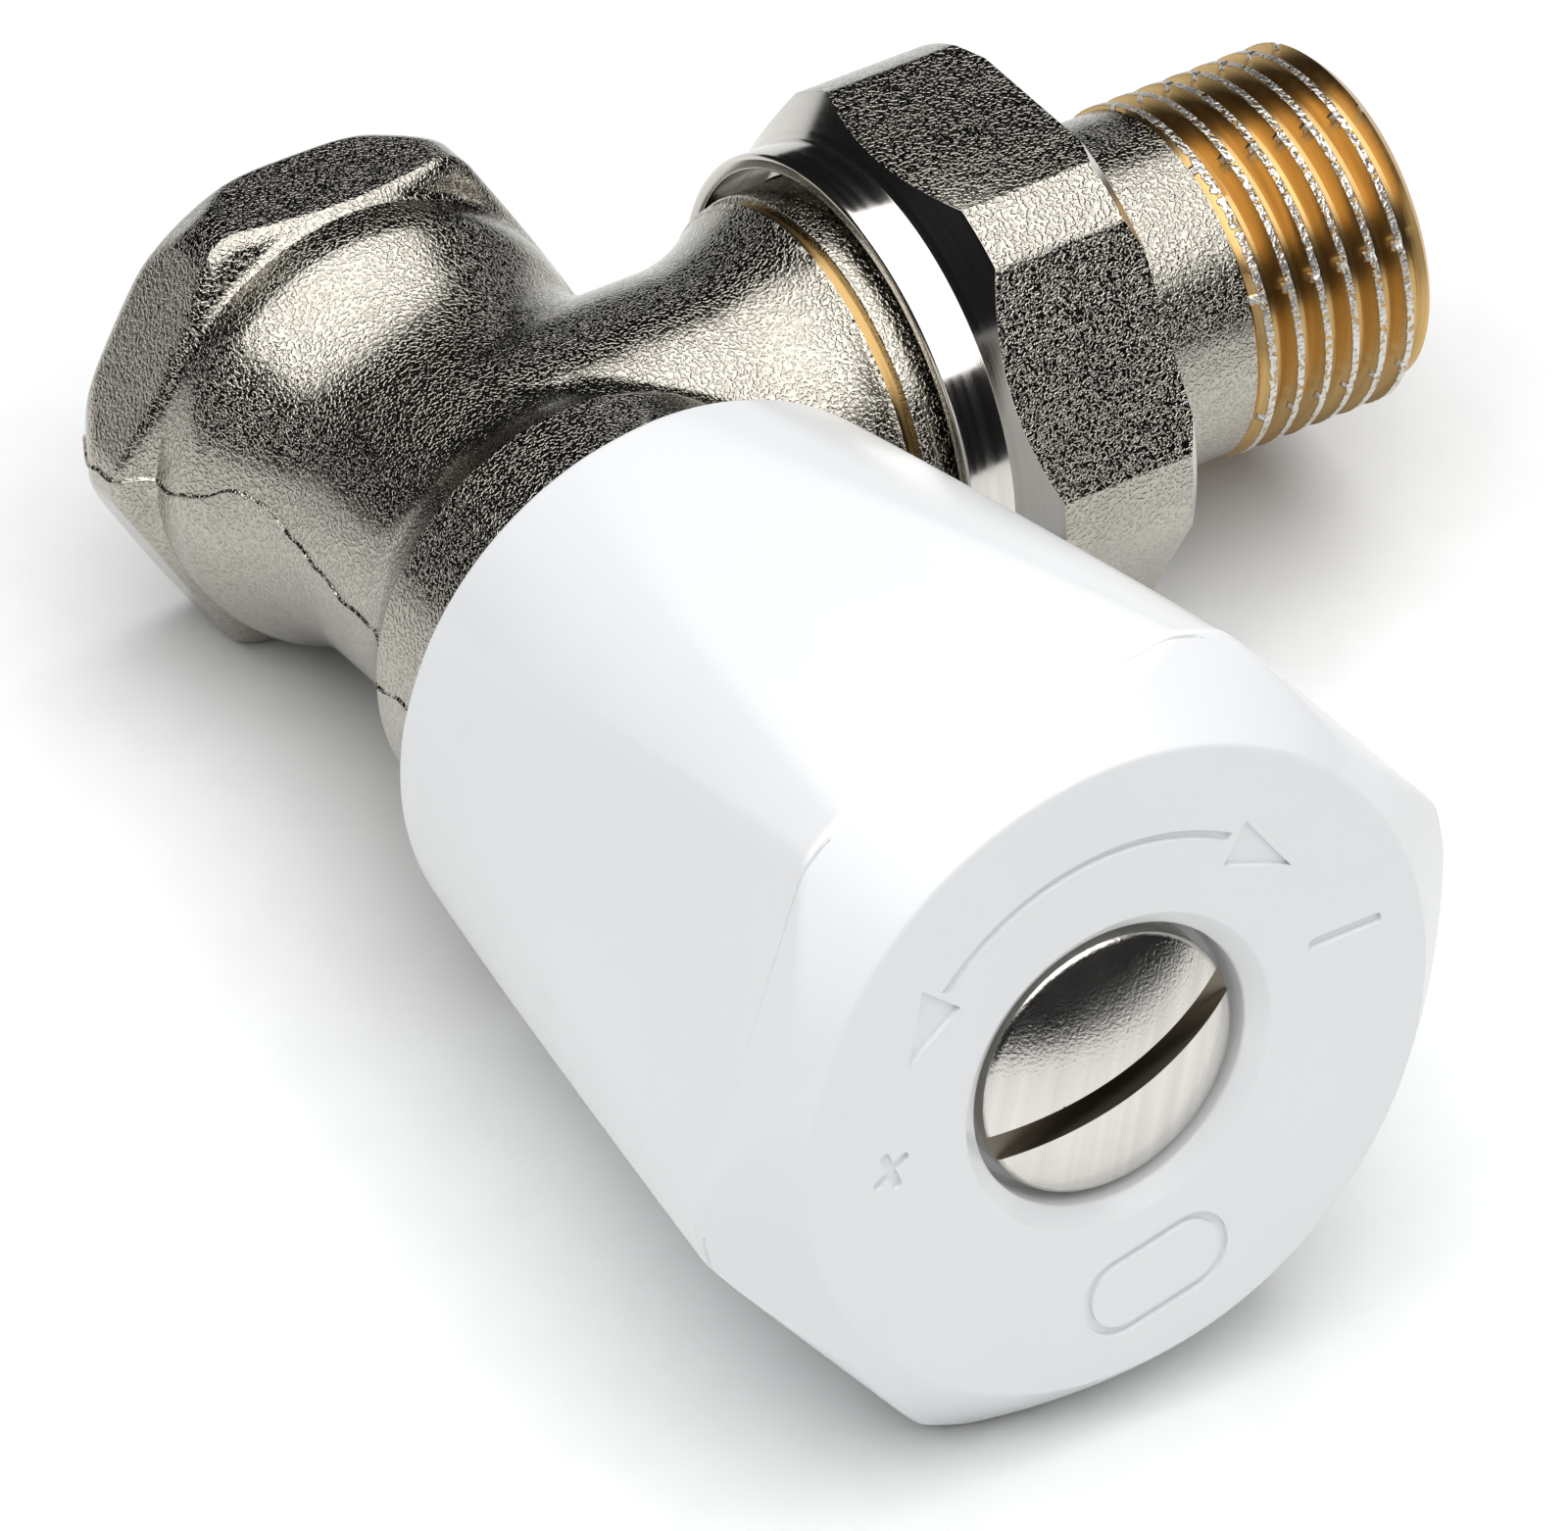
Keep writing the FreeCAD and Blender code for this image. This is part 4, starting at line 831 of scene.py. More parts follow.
def collar_crease(sizes):
    """Place along the spindle axis where the flare meets the bonnet collar."""
    rise = sizes.collar_flare - (sizes.collar_radius - sizes.waist_radius)
    return -sizes.waist_front - math.sqrt(sizes.collar_flare ** 2 - rise ** 2)


def branch_section(sizes):
    """Outline of the branch, from the crossing to the turned ring."""
    rise = sizes.neck_flare - (sizes.branch_radius - sizes.neck_radius)
    start = sizes.branch_reach - math.sqrt(sizes.neck_flare ** 2 - rise ** 2)
    return [(0, 0), (0, sizes.neck_radius)] + arc(
        (start, sizes.neck_radius), (sizes.branch_reach, sizes.branch_radius), sizes.neck_flare
    ) + [(sizes.branch_reach, 0)]


def socket_radius(sizes, around_axis, along):
    """Radius of the inlet end: the barrel's shoulder, and the hexagon between its turned ends."""
    side = FULL_TURN / 6
    off_middle = abs(around_axis % side - side / 2)
    inradius = sizes.socket_flats / 2
    core = inradius - sizes.socket_corner
    if inradius * math.tan(off_middle) <= core * math.tan(side / 2):
        hexagon = inradius / math.cos(off_middle)
    else:
        off_corner = side / 2 - off_middle
        centre = core / math.cos(side / 2)
        hexagon = centre * math.cos(off_corner) + math.sqrt(
            sizes.socket_corner ** 2 - (centre * math.sin(off_corner)) ** 2)
    front = sizes.barrel_radius + (along - sizes.barrel_shoulder) * sizes.socket_front
    rear = inradius + sizes.socket_mouth + (sizes.inlet_reach - along) * sizes.socket_rear
    hexagon = soft_min(soft_min(hexagon, front, sizes.socket_edge), rear, sizes.chamfer_edge)
    near_mouth = max(1 - (sizes.inlet_reach - along) / sizes.mouth_run, 0)
    hexagon -= sizes.mouth_drop * near_mouth ** 2
    if along > sizes.barrel_shoulder + SOCKET_JOIN:
        return hexagon
    return soft_max(sizes.barrel_radius, hexagon, sizes.socket_edge / 2)


def socket_end(sizes, start):
    """Inlet end of the body from a place on the barrel to the mouth, open towards the barrel."""
    count = round((sizes.inlet_reach - start) / SOCKET_ROWS)
    levels = [start + (sizes.inlet_reach - start) * step / count for step in range(count + 1)]
    section = [(level, sizes.barrel_radius) for level in levels] + [(sizes.inlet_reach, 0)]
    bm = turned(section, "Y", 288, closed=False)
    for vert in bm.verts:
        if radius_of(vert.co, "Y") > MERGE:
            around_axis = math.atan2(vert.co.z, vert.co.x)
            set_radius(vert, socket_radius(sizes, around_axis, vert.co.y), "Y")
    return bm


def radius_at(section, along):
    """Radius of a section at a place along its axis."""
    for first, second in zip(section, section[1:]):
        if first[0] <= along < second[0]:
            part = (along - first[0]) / (second[0] - first[0])
            return first[1] + part * (second[1] - first[1])
    return 0.0


def blend_neck(bm, sizes, barrel):
    """Smooth the inner corner where the neck leaves the barrel, in several widths."""
    for factor, passes in NECK_PASSES:
        reach = sizes.crease_reach * factor
        verts = []
        for vert in bm.verts:
            spot = vert.co
            if spot.x < NECK_START or spot.x > sizes.branch_reach - NECK_STOP:
                continue
            off_neck = abs(radius_of(spot, "X") - sizes.neck_radius)
            off_barrel = abs(radius_of(spot, "Y") - radius_at(barrel, spot.y))
            if max(off_neck, off_barrel) < reach:
                verts.append(vert)
        for _ in range(passes):
            bmesh.ops.smooth_vert(bm, verts=verts, factor=0.5, use_axis_x=True, use_axis_y=True,
                                  use_axis_z=True)


def true_up(bm, sections):
    """Bring a skin back to its exact sections, apart from the blend between them."""
    far = 0.35 * MM
    for vert in bm.verts:
        for axis, section in sections.items():
            along = vert.co.dot(AXIS[axis])
            radius = radius_of(vert.co, axis)
            off = radius_at(section, along) - radius
            part = min(abs(off) / far, 1)
            weight = 1 - part * part * (3 - 2 * part)
            if weight and radius > MERGE:
                set_radius(vert, radius + off * weight, axis)


def flash_height_at(spot, sizes):
    """Height of the parting line's middle at a place on the body."""
    if spot.x > 0:
        return 0.0
    wander = math.exp(-((spot.y - sizes.flash_crest) / sizes.flash_span) ** 2)
    ripple = sum(height * math.sin(spot.y / run) for height, run in FLASH_RIPPLES)
    return FLASH_REST + sizes.flash_lift * wander + ripple


def raise_flash(bm, sizes):
    """Fine raised line where the forging dies met."""
    for vert in bm.verts:
        vert.co.z -= flash_height_at(vert.co, sizes)
    half = sizes.flash_width / 2
    for level in (-half, 0.0, half):
        bmesh.ops.bisect_plane(bm, geom=everything(bm), dist=FLASH_SNAP, plane_co=(0, 0, level),
                               plane_no=(0, 0, 1), use_snap_center=True)
    bm.normal_update()
    for vert in bm.verts:
        between_ends = (FLASH_STOP - sizes.collar_reach < vert.co.y < sizes.inlet_reach - FLASH_STOP
                        and vert.co.x < sizes.branch_reach - FLASH_STOP)
        if between_ends and abs(vert.co.z) < NEAR:
            vert.co += vert.normal * sizes.flash_height
    for vert in bm.verts:
        vert.co.z += flash_height_at(vert.co, sizes)


def spigot(sizes):
    """Turned end of the branch: ring, rough band and the core of the union thread."""
    ring = sizes.branch_radius - sizes.ring_depth
    ring_end = sizes.branch_reach + sizes.ring_width
    core = sizes.spigot_radius - 0.8 * MM
    section = rounded([(SPIGOT_START, 0), (SPIGOT_START, SPIGOT_INSIDE), (RING_START, SPIGOT_INSIDE),
                       (RING_START, ring), (ring_end, ring),
                       (ring_end, sizes.spigot_radius, 0.12 * MM),
                       (BAND_END, sizes.spigot_radius, 0.3 * MM), (CORE_START, core),
                       (sizes.spigot_reach, core, 0.3 * MM), (sizes.spigot_reach, 0)])
    bm = turned(section, "X", 144, closed=False, material=1)
    for face in bm.faces:
        spot = face.calc_center_median()
        if radius_of(spot, "X") > ring + 0.05 * MM and spot.x < BAND_LIMIT:
            face.material_index = 0
    return bm


def body_bores(sizes):
    """The machined inside: inlet, port, seat, chamber and bonnet thread, and the outlet."""
    mouth = sizes.inlet_reach
    root = sizes.inlet_thread + 1.3 * MM
    seat_edge = sizes.port_radius + 1.6 * MM
    floor = sizes.seat_reach + 1.0 * MM
    front = -sizes.collar_reach
    over = 1 * MM
    upright = turned([
        (front - over, 0), (front - over, sizes.bonnet_thread),
        (front + sizes.bonnet_depth, sizes.bonnet_thread),
        (front + sizes.bonnet_depth, sizes.chamber_radius), (floor, sizes.chamber_radius),
        (floor, seat_edge), (sizes.seat_reach, seat_edge), (sizes.seat_reach, sizes.port_radius),
        (mouth - sizes.inlet_depth, sizes.port_radius), (mouth - sizes.inlet_depth, root),
        (mouth, root), (mouth + over, root), (mouth + over, 0),
    ], "Y", 96, closed=False, material=1)
    end = sizes.spigot_reach
    outlet = turned([
        (0, 0), (0, sizes.passage_radius), (end - sizes.nose_depth, sizes.passage_radius),
        (end - sizes.nose_depth, sizes.nose_bore), (end + over, sizes.nose_bore), (end + over, 0),
    ], "X", 96, closed=False, material=1)
    return upright, outlet


class VALVE_OT_body(Operator):
    """Forged and nickel-plated body with its turned ends and threads"""
    bl_idname = "valve.body"
    bl_label = "Valve body"

    def execute(self, context):
        sizes = context.scene.valve_body
        union = context.scene.valve_union
        barrel = barrel_section(sizes)
        branch = branch_section(sizes)
        solids = turned(barrel, "Y", 160, closed=False)
        absorb(solids, turned(branch, "X", 160, closed=False))
        forging = skinned(solids, sizes.voxel)
        blend_neck(forging, sizes, barrel)
        join = sizes.barrel_shoulder - SOCKET_JOIN
        for level, drop in ((collar_crease(sizes), False), (join, True)):
            bmesh.ops.bisect_plane(forging, geom=everything(forging), dist=SNAP,
                                   plane_co=(0, level, 0), plane_no=(0, 1, 0), use_snap_center=True,
                                   clear_outer=drop)
        true_up(forging, {"Y": barrel, "X": branch})
        absorb(forging, socket_end(sizes, join + SOCKET_ROWS))
        bmesh.ops.bridge_loops(forging, edges=[edge for edge in forging.edges if edge.is_boundary])
        clean(forging)
        raise_flash(forging, sizes)
        body = combined(forging, spigot(sizes), "UNION")
        for bore in body_bores(sizes):
            body = combined(body, bore, "DIFFERENCE")
        spigot_thread = thread_sleeve(
            "X", THREAD_START, sizes.spigot_reach - 0.4 * MM, sizes.spigot_radius, 0.75 * MM,
            union.pitch, union.crest_width, sizes.spigot_radius - 1.5 * MM, steps=120)
        paint(spigot_thread, 1)
        absorb(body, spigot_thread)
        mouth = sizes.inlet_reach

        def open_mouth(vert):
            least = sizes.inlet_thread + sizes.inlet_chamfer - (mouth - vert.co.y)
            if radius_of(vert.co, "Y") < least:
                set_radius(vert, least, "Y")

        inlet_thread = thread_sleeve(
            "Y", mouth - sizes.inlet_depth + 0.02 * MM, mouth - 0.05 * MM, sizes.inlet_thread,
            -1.1 * MM, union.pitch, union.crest_width, sizes.inlet_thread + 1.9 * MM, steps=120,
            shape=open_mouth)
        paint(inlet_thread, 1)
        absorb(body, inlet_thread)
        finish_piece("forged_body", body, ["Forged nickel", "Turned brass"], "valve", "valve_body")
        return {"FINISHED"}


# Union nut and tail


class VALVE_OT_nut(Operator):
    """Union nut: turned collar and cone, grained flats and corners"""
    bl_idname = "valve.nut"
    bl_label = "Union nut"

    def execute(self, context):
        sizes = context.scene.valve_union
        collar_end = sizes.nut_start + sizes.nut_collar_length
        mouth = sizes.nut_collar - sizes.nut_rim
        rim_floor = sizes.nut_start + sizes.nut_rim_depth
        neck = sizes.shank_radius + sizes.shank_gap
        section = rounded([
            (sizes.nut_start, mouth, 0.2 * MM), (rim_floor, mouth), (rim_floor, sizes.nut_bore),
            (sizes.flange_end, sizes.nut_bore), (sizes.flange_end, neck),
            (sizes.nut_end, neck, 0.2 * MM),
            (sizes.nut_end, sizes.nut_corner - sizes.nut_bevel),
            (sizes.nut_end - sizes.nut_bevel, sizes.nut_corner),
            (collar_end + sizes.nut_cone, sizes.nut_corner),
            (collar_end, sizes.nut_collar), (sizes.nut_start, sizes.nut_collar, 0.3 * MM),
        ])
        turning = turned(section, "X", 192, material=1)
        over = 1 * MM
        corner = math.pi - sizes.nut_turn
        hexagon = prism(regular(6, sizes.nut_flats / 2, corner), "X", sizes.nut_start - over,
                        sizes.nut_end + over, material=0)
        nut = combined(turning, hexagon, "INTERSECT")
        for face in nut.faces:
            spot = face.calc_center_median()
            strip = abs(face.normal.x) < 0.1 and radius_of(spot, "X") > sizes.nut_collar + 0.1 * MM
            face.material_index = 0 if strip else 1
        finish_piece("union_nut_forging", nut, ["Grained nut", "Turned nickel"], "nut", "union_nut",
                     bevel=sizes.nut_edge)
        return {"FINISHED"}


# Groove of the seal ring on the tail's nose
GROOVE_START = 26 * MM
GROOVE_END = 27.8 * MM
GROOVE_FLOOR = 7.6 * MM


class VALVE_OT_tail(Operator):
    """Union tail: nose, flange and grained shank, with a cut thread and notched crests"""
    bl_idname = "valve.tail"
    bl_label = "Union tail"

    def execute(self, context):
        sizes = context.scene.valve_union
        start = sizes.tail_run_out
        section = rounded([
            (sizes.nose_start, sizes.tail_bore), (start, sizes.tail_bore),
            (start, sizes.shank_radius), (sizes.flange_end, sizes.shank_radius),
            (sizes.flange_end, sizes.flange_radius, 0.2 * MM),
            (sizes.seat_reach, sizes.flange_radius, 0.2 * MM),
            (sizes.seat_reach, sizes.nose_radius), (GROOVE_END, sizes.nose_radius),
            (GROOVE_END, GROOVE_FLOOR), (GROOVE_START, GROOVE_FLOOR),
            (GROOVE_START, sizes.nose_radius),
            (sizes.nose_start, sizes.nose_radius, 0.3 * MM),
        ])
        tail = turned(section, "X", 160)
        rows_round = FULL_TURN / sizes.notch_rows

        def cut_thread(vert):
            along = vert.co.x
            radius = radius_of(vert.co, "X")
            rim = sizes.tail_thread - sizes.tail_chamfer + (sizes.tail_reach - along)
            run_out = sizes.shank_radius - (along - start) * 0.5
            radius = max(min(radius, rim), min(run_out, sizes.tail_thread))
            around_axis = math.atan2(vert.co.z, vert.co.y) % rows_round - rows_round / 2
            if abs(around_axis) * radius < sizes.notch_width / 2 and along > start + 3 * MM:
                radius = min(radius, sizes.tail_thread - sizes.notch_depth)
            set_radius(vert, radius, "X")

        thread = thread_sleeve("X", start, sizes.tail_reach, sizes.tail_thread, sizes.thread_depth,
                               sizes.pitch, sizes.crest_width, sizes.tail_bore, steps=240,
                               shape=cut_thread)
        paint(thread, 1)
        absorb(tail, thread)
        half = sizes.lug_width / 2
        top = sizes.tail_bore + 0.4 * MM
        bottom = sizes.tail_bore - sizes.lug_height
        for side in (1, -1):
            corners = [(-half, side * bottom), (half, side * bottom), (half, side * top),
                       (-half, side * top)]
            absorb(tail, prism(corners, "X", sizes.lug_start, sizes.lug_start + sizes.lug_length))
        finish_piece("threaded_tail", tail, ["Grained shank", "Cut thread"], "tail", "union_tail")
        return {"FINISHED"}


# Hand wheel and screw

SEAM_SPREAD = 0.12 * MM
CLOSE_ROWS = 0.2 * MM
RIM_MARGIN = 0.6 * MM
SEAM_FADE = math.radians(30)
SEAM_FADE_START = math.radians(8)
# Marks on the face: degrees of the arrow's line, and the middles of the plus and the pill
ARROW_START = 59
ARROW_SWEEP = 79
ARROW_STEPS = 40
PLUS_PLACE = (-14.1 * MM, -0.4 * MM)
PILL_PLACE = (1.9 * MM, -13.8 * MM)
SCREW_BEVEL = 0.08 * MM


def wheel_section(sizes):
    """Outline of the moulding: rear rim, skirt, brow, face, recess, hub and hollow."""
    front = -sizes.front
    rear = -sizes.rear
    ridge = -sizes.ridge
    wall = front + sizes.front_wall
    floor = front + sizes.recess_depth
    hub = -sizes.hub_reach
    hollow = sizes.rear_radius - sizes.wall
    hole = sizes.shank_radius + 0.2 * MM
    return rounded([
        (rear, hollow, 0.5 * MM), (rear, sizes.rear_radius, 0.5 * MM),
        (ridge, sizes.ridge_radius, sizes.brow_edge), (front, sizes.face_radius, sizes.brow_edge),
        (front, sizes.recess_radius, sizes.recess_edge),
        (front + sizes.recess_lip, sizes.recess_wall, sizes.recess_edge),
        (floor, sizes.recess_wall, sizes.recess_edge),
        (floor, hole), (hub, hole), (hub, sizes.hub_radius, 0.3 * MM),
        (wall, sizes.hub_radius, 0.6 * MM), (wall, sizes.hollow_front, 1.0 * MM),
    ])


def filled_in(section, sizes):
    """The same outline with close rows on the outside, and three rows for the moulding seam."""
    seam_rows = [-sizes.seam - SEAM_SPREAD, -sizes.seam, -sizes.seam + SEAM_SPREAD]
    points = []
    for here, there in zip(section, section[1:] + section[:1]):
        points.append(here)
        outside = min(here.y, there.y) > sizes.rear_radius - RIM_MARGIN and here.x > there.x
        if not outside:
            continue
        count = int((there - here).length / CLOSE_ROWS)
        near_ridge = -sizes.ridge + 4 * MM
        spots = [spot for index, spot in enumerate(rows(here, there, count))
                 if spot.x < near_ridge or index % 5 == 0]
        for level in seam_rows:
            if there.x < level < here.x:
                spots.append(here.lerp(there, (here.x - level) / (here.x - there.x)))
        points += sorted(spots, key=lambda spot: -spot.x)
    return points


def flat_distance(sizes, along):
    """Distance of a flat from the axis at a place along it, rounding over to the face."""
    if along <= sizes.ridge:
        slope = (sizes.flat_front - sizes.flat_rear) / (sizes.ridge - sizes.rear)
        return sizes.flat_rear + slope * (along - sizes.rear)
    start = Vector((sizes.ridge, sizes.flat_front))
    end = Vector((sizes.front, sizes.face_radius + sizes.flat_touch))
    chord = end - start
    inward = Vector((chord.y, -chord.x)).normalized()
    drop = math.sqrt(sizes.flat_round ** 2 - chord.length_squared / 4)
    centre = (start + end) / 2 + inward * drop
    return centre.y + math.sqrt(max(sizes.flat_round ** 2 - (along - centre.x) ** 2, 0))


def cut_flats(bm, sizes):
    """Push the skirt in to six leaning flats with soft ridges, and draw the seam on them."""
    side = FULL_TURN / 6
    hollow_slope = (sizes.hollow_front - sizes.rear_radius + sizes.wall) / (
        sizes.front - sizes.front_wall - sizes.rear)
    for vert in bm.verts:
        radius = radius_of(vert.co, "Y")
        along = -vert.co.y
        hollow = sizes.rear_radius - sizes.wall + hollow_slope * (along - sizes.rear)
        in_hollow = along < sizes.front - sizes.front_wall and radius < hollow + RIM_MARGIN
        if in_hollow or radius < sizes.rear_radius - RIM_MARGIN:
            continue
        around_axis = math.atan2(vert.co.z, vert.co.x) - sizes.turn
        off_middle = (around_axis + side / 2) % side - side / 2
        flat = flat_distance(sizes, along) / math.cos(off_middle)
        trimmed = soft_min(radius, flat, sizes.soft_edge)
        if abs(along - sizes.seam) < MERGE:
            fade = min(max((SEAM_FADE_START - off_middle) / SEAM_FADE, 0), 1)
            trimmed -= sizes.seam_depth * fade
        set_radius(vert, trimmed, "Y")


def face_point(radius, degrees):
    """A point on the face from its radius and its angle."""
    return (radius * math.cos(math.radians(degrees)), radius * math.sin(math.radians(degrees)))


def bar(centre, long_half, short_half, turn):
    """Outline of a bar with round ends on the face."""
    corners = rectangle(long_half, short_half)
    outline = rounded([corner + (short_half * 0.98,) for corner in corners], steps=8)
    swing = Matrix.Rotation(math.radians(turn), 2)
    return [Vector(centre) + swing @ spot for spot in outline]


def sunk_marks(sizes):
    """Cutter of the sunk marks on the face: turning arrow, plus, minus and a bare pill."""
    low = -sizes.front - 1 * MM
    high = -sizes.front + sizes.mark_depth
    middle = sizes.mark_radius
    half = sizes.mark_width / 2
    turns = [ARROW_START + ARROW_SWEEP * step / ARROW_STEPS for step in range(ARROW_STEPS + 1)]
    line = [face_point(middle + half, turn) for turn in turns]
    line += [face_point(middle - half, turn) for turn in reversed(turns)]
    arrow_right = [face_point(middle + 1.1 * MM, 57), face_point(middle, 38.5),
                   face_point(middle - 1.6 * MM, 57)]
    arrow_left = [face_point(middle + 1.5 * MM, 139.5), face_point(middle, 156.5),
                  face_point(middle - 1.5 * MM, 139.5)]
    minus = bar((14.2 * MM, 3.2 * MM), 2.3 * MM, 0.34 * MM, 0)
    plus = bar(PLUS_PLACE, 1.3 * MM, 0.3 * MM, 35)
    marks = prism(line, "Y", low, high)
    for shape in (arrow_right, arrow_left, minus, plus):
        absorb(marks, prism(shape, "Y", low, high))
    across = prism(bar(PLUS_PLACE, 1.3 * MM, 0.3 * MM, -70), "Y", low, high)
    marks = combined(marks, across, "UNION")
    pill = prism(bar(PILL_PLACE, 4.6 * MM, 2.5 * MM, 13), "Y", low, high)
    island = prism(bar(PILL_PLACE, 4.05 * MM, 1.95 * MM, 13), "Y", low * 2, high + 1 * MM)
    absorb(marks, combined(pill, island, "DIFFERENCE"))
    return marks


class VALVE_OT_wheel(Operator):
    """White moulded hand wheel with leaning flats, soft ridges and sunk marks"""
    bl_idname = "valve.wheel"
    bl_label = "Hand wheel"

    def execute(self, context):
        sizes = context.scene.valve_wheel
        wheel = turned(filled_in(wheel_section(sizes), sizes), "Y", 432)
        cut_flats(wheel, sizes)
        wheel = combined(wheel, sunk_marks(sizes), "DIFFERENCE")
        half = sizes.square / 2
        square = prism(rectangle(half, half), "Y", -sizes.hub_reach - sizes.square_length,
                       -sizes.hub_reach + 1 * MM)
        turn_about(square, "Y", -sizes.turn)
        wheel = combined(wheel, square, "DIFFERENCE")
        wall = -sizes.front + sizes.front_wall
        for step in range(6):
            rib = prism([(sizes.hub_radius - 0.5 * MM, wall - 0.3 * MM),
                         (sizes.hollow_front + 0.6 * MM, wall - 0.3 * MM),
                         (sizes.hollow_front + 0.2 * MM, wall + sizes.rib_length),
                         (sizes.hub_radius - 0.5 * MM, wall + sizes.rib_length)],
                        "Z", -sizes.rib_thickness / 2, sizes.rib_thickness / 2)
            turn_about(rib, "Y", -sizes.turn + FULL_TURN * step / 6)
            absorb(wheel, rib)
        finish_piece("white_hand_wheel", wheel, ["White moulding"], "handle", "hand_wheel")
        return {"FINISHED"}


class VALVE_OT_screw(Operator):
    """Broad domed screw with one slot"""
    bl_idname = "valve.screw"
    bl_label = "Wheel screw"

    def execute(self, context):
        sizes = context.scene.valve_wheel
        seat = -sizes.front + sizes.recess_depth
        edge = seat - sizes.screw_edge
        top = edge - sizes.screw_dome
        dome = (sizes.screw_head ** 2 + sizes.screw_dome ** 2) / (2 * sizes.screw_dome)
        section = arc((top, 0), (edge, sizes.screw_head - 0.12 * MM), -dome, 40)
        section += [Vector((edge + 0.15 * MM, sizes.screw_head)), Vector((seat, sizes.screw_head)),
                    Vector((seat, sizes.shank_radius)),
                    Vector((seat + sizes.shank_length, sizes.shank_radius)),
                    Vector((seat + sizes.shank_length, 0))]
        screw = turned(section, "Y", 144, closed=False)
        half = sizes.screw_slot / 2
        slot = prism(rectangle(sizes.screw_head * 1.2, half), "Y", top - 1 * MM,
                     top + sizes.slot_depth, material=1)
        turn_about(slot, "Y", -sizes.slot_turn)
        screw = combined(screw, slot, "DIFFERENCE")
        finish_piece("slotted_screw", screw, ["Screw nickel", "Slot metal"], "handle", "wheel_screw",
                     bevel=SCREW_BEVEL)
        return {"FINISHED"}


# Finishes of every piece, and of the nodes that stay as they are


class VALVE_OT_finishes(Operator):
    """Shared node groups and the materials of all pieces"""
    bl_idname = "valve.finishes"
    bl_label = "Finishes"

    def execute(self, context):
        colours = context.scene.valve_finish
        pearl_grain_group()
        lathe_lines_group()
        grained_nickel("Forged nickel", colours.nickel, 4800.0, 0.000024, 0.085)
        grained_nickel("Grained nut", colours.nickel, 4300.0, 0.00003, 0.085)
        grained_nickel("Grained shank", colours.nickel, 4800.0, 0.000026, 0.11)
        turned_metal("Turned nickel", colours.bright, "X", 0.12)
        turned_metal("Turned brass", Vector(colours.brass) * 0.75, "X", 0.26, depth=4.0e-6)
        # Dark metal on the faces of the screw's slot: painted shade in the slot
        turned_metal("Slot metal", (0.22, 0.19, 0.15), "Y", 0.45, depth=2.0e-5, lines=3000.0)
        turned_metal("Bonnet brass", colours.brass, "Y", 0.26, depth=4.0e-6, lines=5000.0)
        thread_metal(colours, context.scene.valve_union)
        white_plastic(colours)
        brushed_screw(colours)
        soft_material("Black rubber", colours.rubber, 0.55, 1500.0, 2.0e-5)
        soft_material("White polymer", colours.polymer, 0.4, 1200.0, 1.0e-5)
        soft_material("Spring steel", colours.steel, 0.35, 2500.0, 5.0e-6, Metallic=1.0)
        return {"FINISHED"}


class VALVE_OT_inside(Operator):
    """Finishes on the pieces inside: bonnet, gland, spindle, disc and seals"""
    bl_idname = "valve.inside"
    bl_label = "Inner pieces"

    def execute(self, context):
        finish_of = {
            "Bonnet brass": ("bonnet", "gland_nut", "spindle", "disc_holder", "disc_washer", "disc_nut"),
            "Black rubber": ("bonnet_o_ring", "stem_o_ring_inner", "stem_o_ring_outer", "disc_seal",
                             "tail_o_ring"),
            "White polymer": ("gland_ring",),
            "Spring steel": ("holder_ring",),
        }
        for material, names in finish_of.items():
            for name in names:
                for slot in frame["nodes"][name].material_slots:
                    slot.material = bpy.data.materials[material]
        return {"FINISHED"}


# Stage


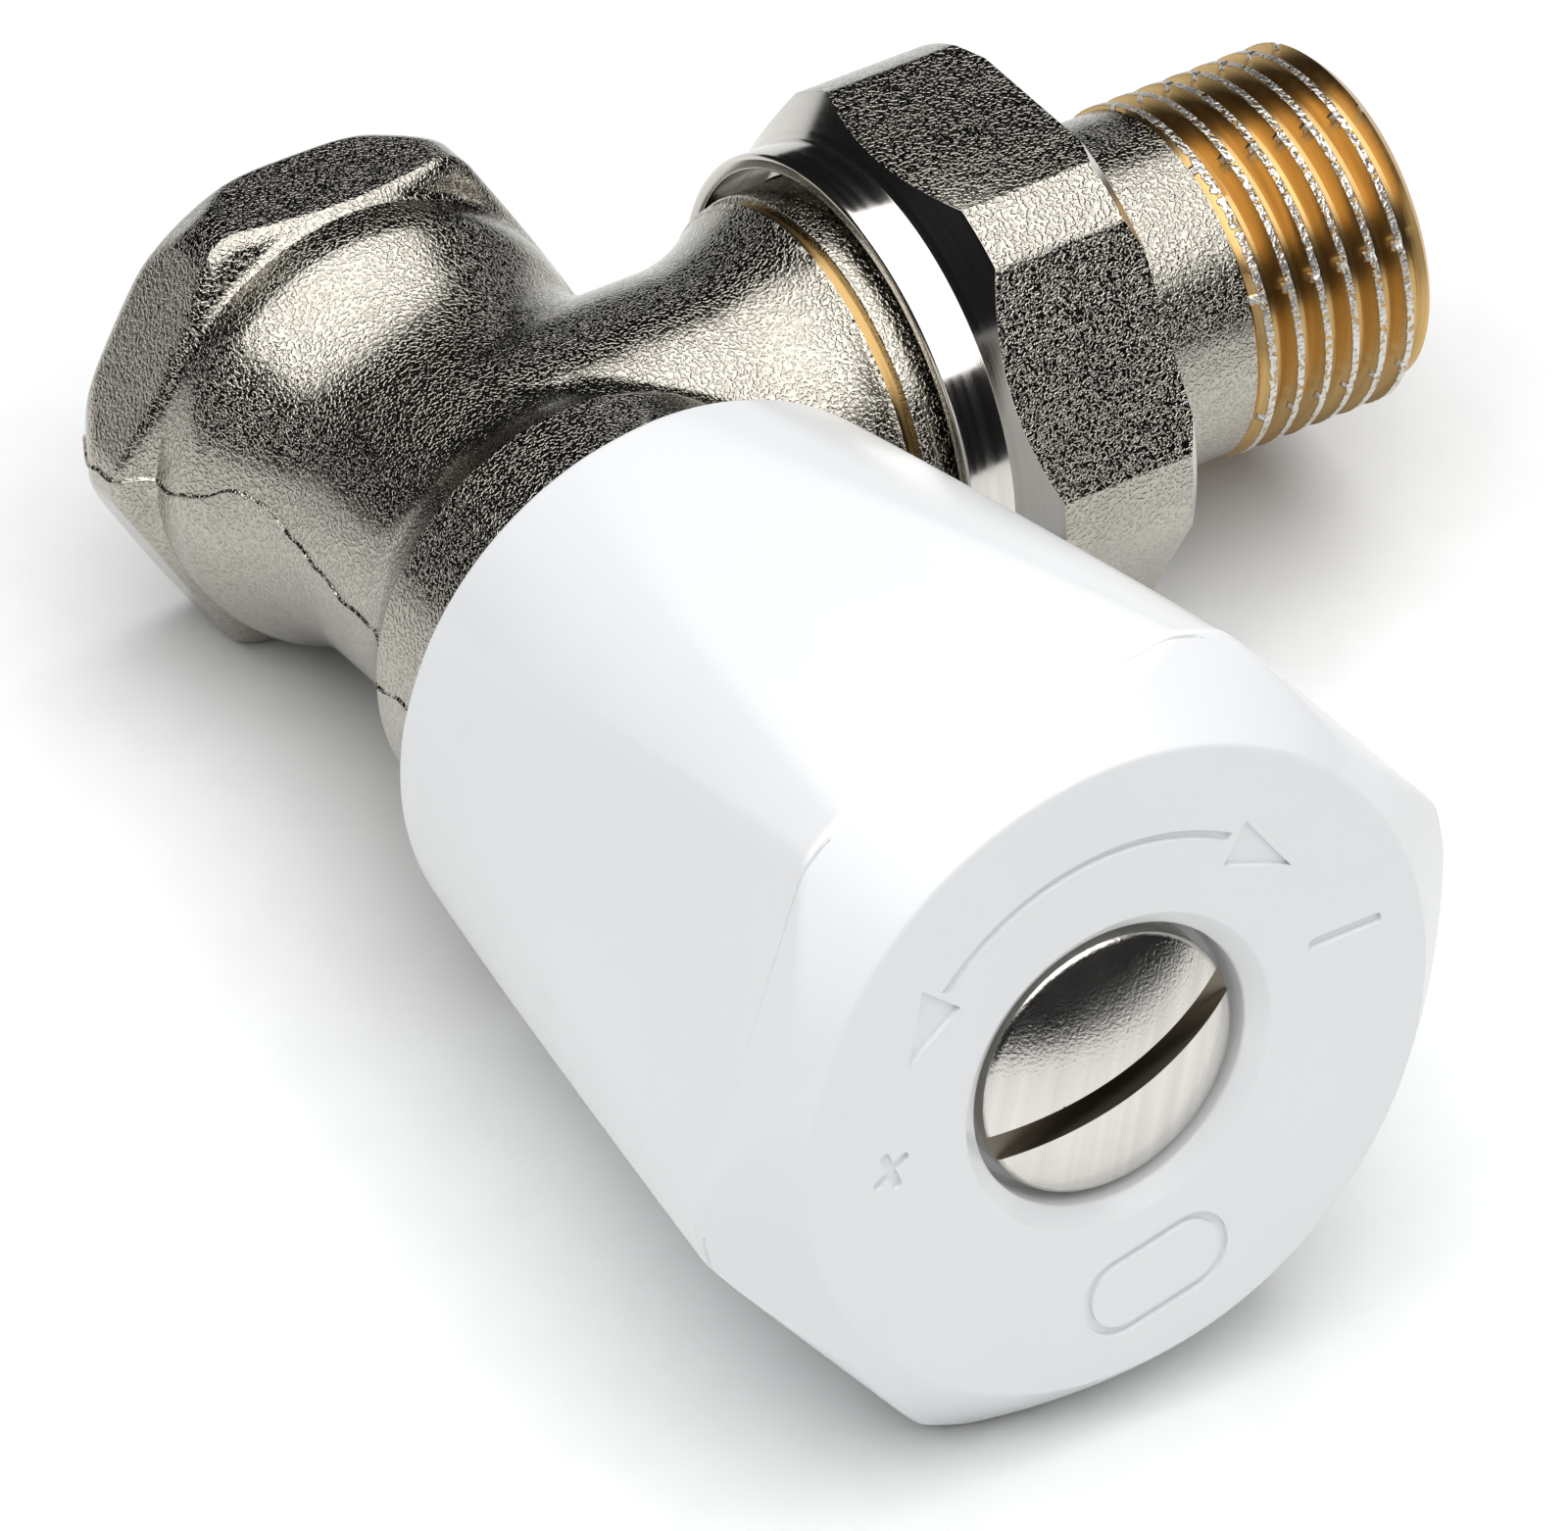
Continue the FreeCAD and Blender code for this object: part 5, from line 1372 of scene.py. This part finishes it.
class VALVE_OT_stage(Operator):
    """Pale ground, softbox, surroundings and the camera"""
    bl_idname = "valve.stage"
    bl_label = "Stage"

    def execute(self, context):
        sizes = context.scene.valve_stage
        self.ground(context, sizes)
        self.lights(sizes)
        self.surroundings(context)
        self.camera(context, sizes)
        return {"FINISHED"}

    def ground(self, context, sizes):
        """Plane that the valve lies on, at the slope that its lowest points give."""
        bm = bmesh.new()
        bmesh.ops.create_grid(bm, x_segments=8, y_segments=8, size=sizes.floor_size)
        turn_about(bm, "X", sizes.floor_tilt)
        bmesh.ops.translate(bm, verts=bm.verts, vec=CROSSING - AXIS["Z"] * sizes.floor_drop)
        mesh = mesh_of(bm, "ground")
        soft_material("Pale ground", context.scene.valve_finish.floor, 0.6, 300.0, 1.0e-6, 0.01)
        mesh.materials.append(bpy.data.materials["Pale ground"])
        ground = placed("ground", mesh)

    def lights(self, sizes):
        """One broad softbox overhead, turned straight down."""
        lamp = bpy.data.lights.new("overhead softbox", "AREA")
        lamp.shape = "RECTANGLE"
        lamp.size = sizes.sky_width
        lamp.size_y = sizes.sky_depth
        lamp.energy = sizes.sky_power
        softbox = placed("overhead softbox", lamp)
        softbox.location = CROSSING + Vector((sizes.sky_x, sizes.sky_y, sizes.sky_height))
        softbox.rotation_euler = (-AXIS["Z"]).to_track_quat("-Z", "Y").to_euler()

    def surroundings(self, context):
        """Dark room for reflections, pale where the camera looks past the ground."""
        world = bpy.data.worlds.new("studio")
        world.use_nodes = True
        tree = world.node_tree
        background = tree.nodes["Background"]
        path = add_node(tree, "ShaderNodeLightPath")
        feed(tree, background.inputs["Color"], mixed(
            tree, path.outputs["Is Camera Ray"], (0.012, 0.012, 0.013, 1), (1, 1, 1, 1)))
        context.scene.world = world
        context.scene.view_settings.view_transform = "Standard"

    def camera(self, context, sizes):
        """Camera of the photograph, far off with a long lens."""
        around_z, up, roll = sizes.azimuth, sizes.elevation, sizes.roll
        back = Vector((math.sin(around_z) * math.cos(up), -math.cos(around_z) * math.cos(up),
                       math.sin(up)))
        right = Vector((math.cos(around_z), math.sin(around_z), 0))
        above = back.cross(right)
        axes = Matrix((right * math.cos(roll) + above * math.sin(roll),
                       above * math.cos(roll) - right * math.sin(roll), back)).transposed()
        data = bpy.data.cameras.new("photo camera")
        data.sensor_width = 36
        data.lens = data.sensor_width * sizes.focal_pixels / PHOTO_WIDTH
        data.clip_start = 0.01
        data.clip_end = 10
        camera = placed("photo camera", data)
        spot = CROSSING + Vector((sizes.camera_x, sizes.camera_y, sizes.camera_z))
        camera.matrix_world = Matrix.Translation(spot) @ axes.to_4x4()
        context.scene.camera = camera


class VALVE_PT_pieces(Panel):
    """Sidebar panel with the steps that dress the valve"""
    bl_idname = "VALVE_PT_pieces"
    bl_label = "Radiator valve"
    bl_space_type = "VIEW_3D"
    bl_region_type = "UI"
    bl_category = "Valve"

    def draw(self, context):
        for step in STEPS:
            self.layout.operator(step.bl_idname)


GROUPS = {"valve_body": BodySizes, "valve_union": UnionSizes, "valve_wheel": WheelSizes,
          "valve_finish": Finishes, "valve_stage": StageSizes}
STEPS = (VALVE_OT_finishes, VALVE_OT_body, VALVE_OT_nut, VALVE_OT_tail, VALVE_OT_wheel,
         VALVE_OT_screw, VALVE_OT_inside, VALVE_OT_stage)
CLASSES = tuple(GROUPS.values()) + STEPS + (VALVE_PT_pieces,)


def register():
    for item in CLASSES:
        bpy.utils.register_class(item)
    for name, group in GROUPS.items():
        setattr(bpy.types.Scene, name, PointerProperty(type=group))


def unregister():
    for name in GROUPS:
        delattr(bpy.types.Scene, name)
    for item in reversed(CLASSES):
        bpy.utils.unregister_class(item)


def main():
    """Dress the valve step by step."""
    register()
    for step in STEPS:
        family, name = step.bl_idname.split(".")
        getattr(getattr(bpy.ops, family), name)()


if __name__ == "__main__":
    main()
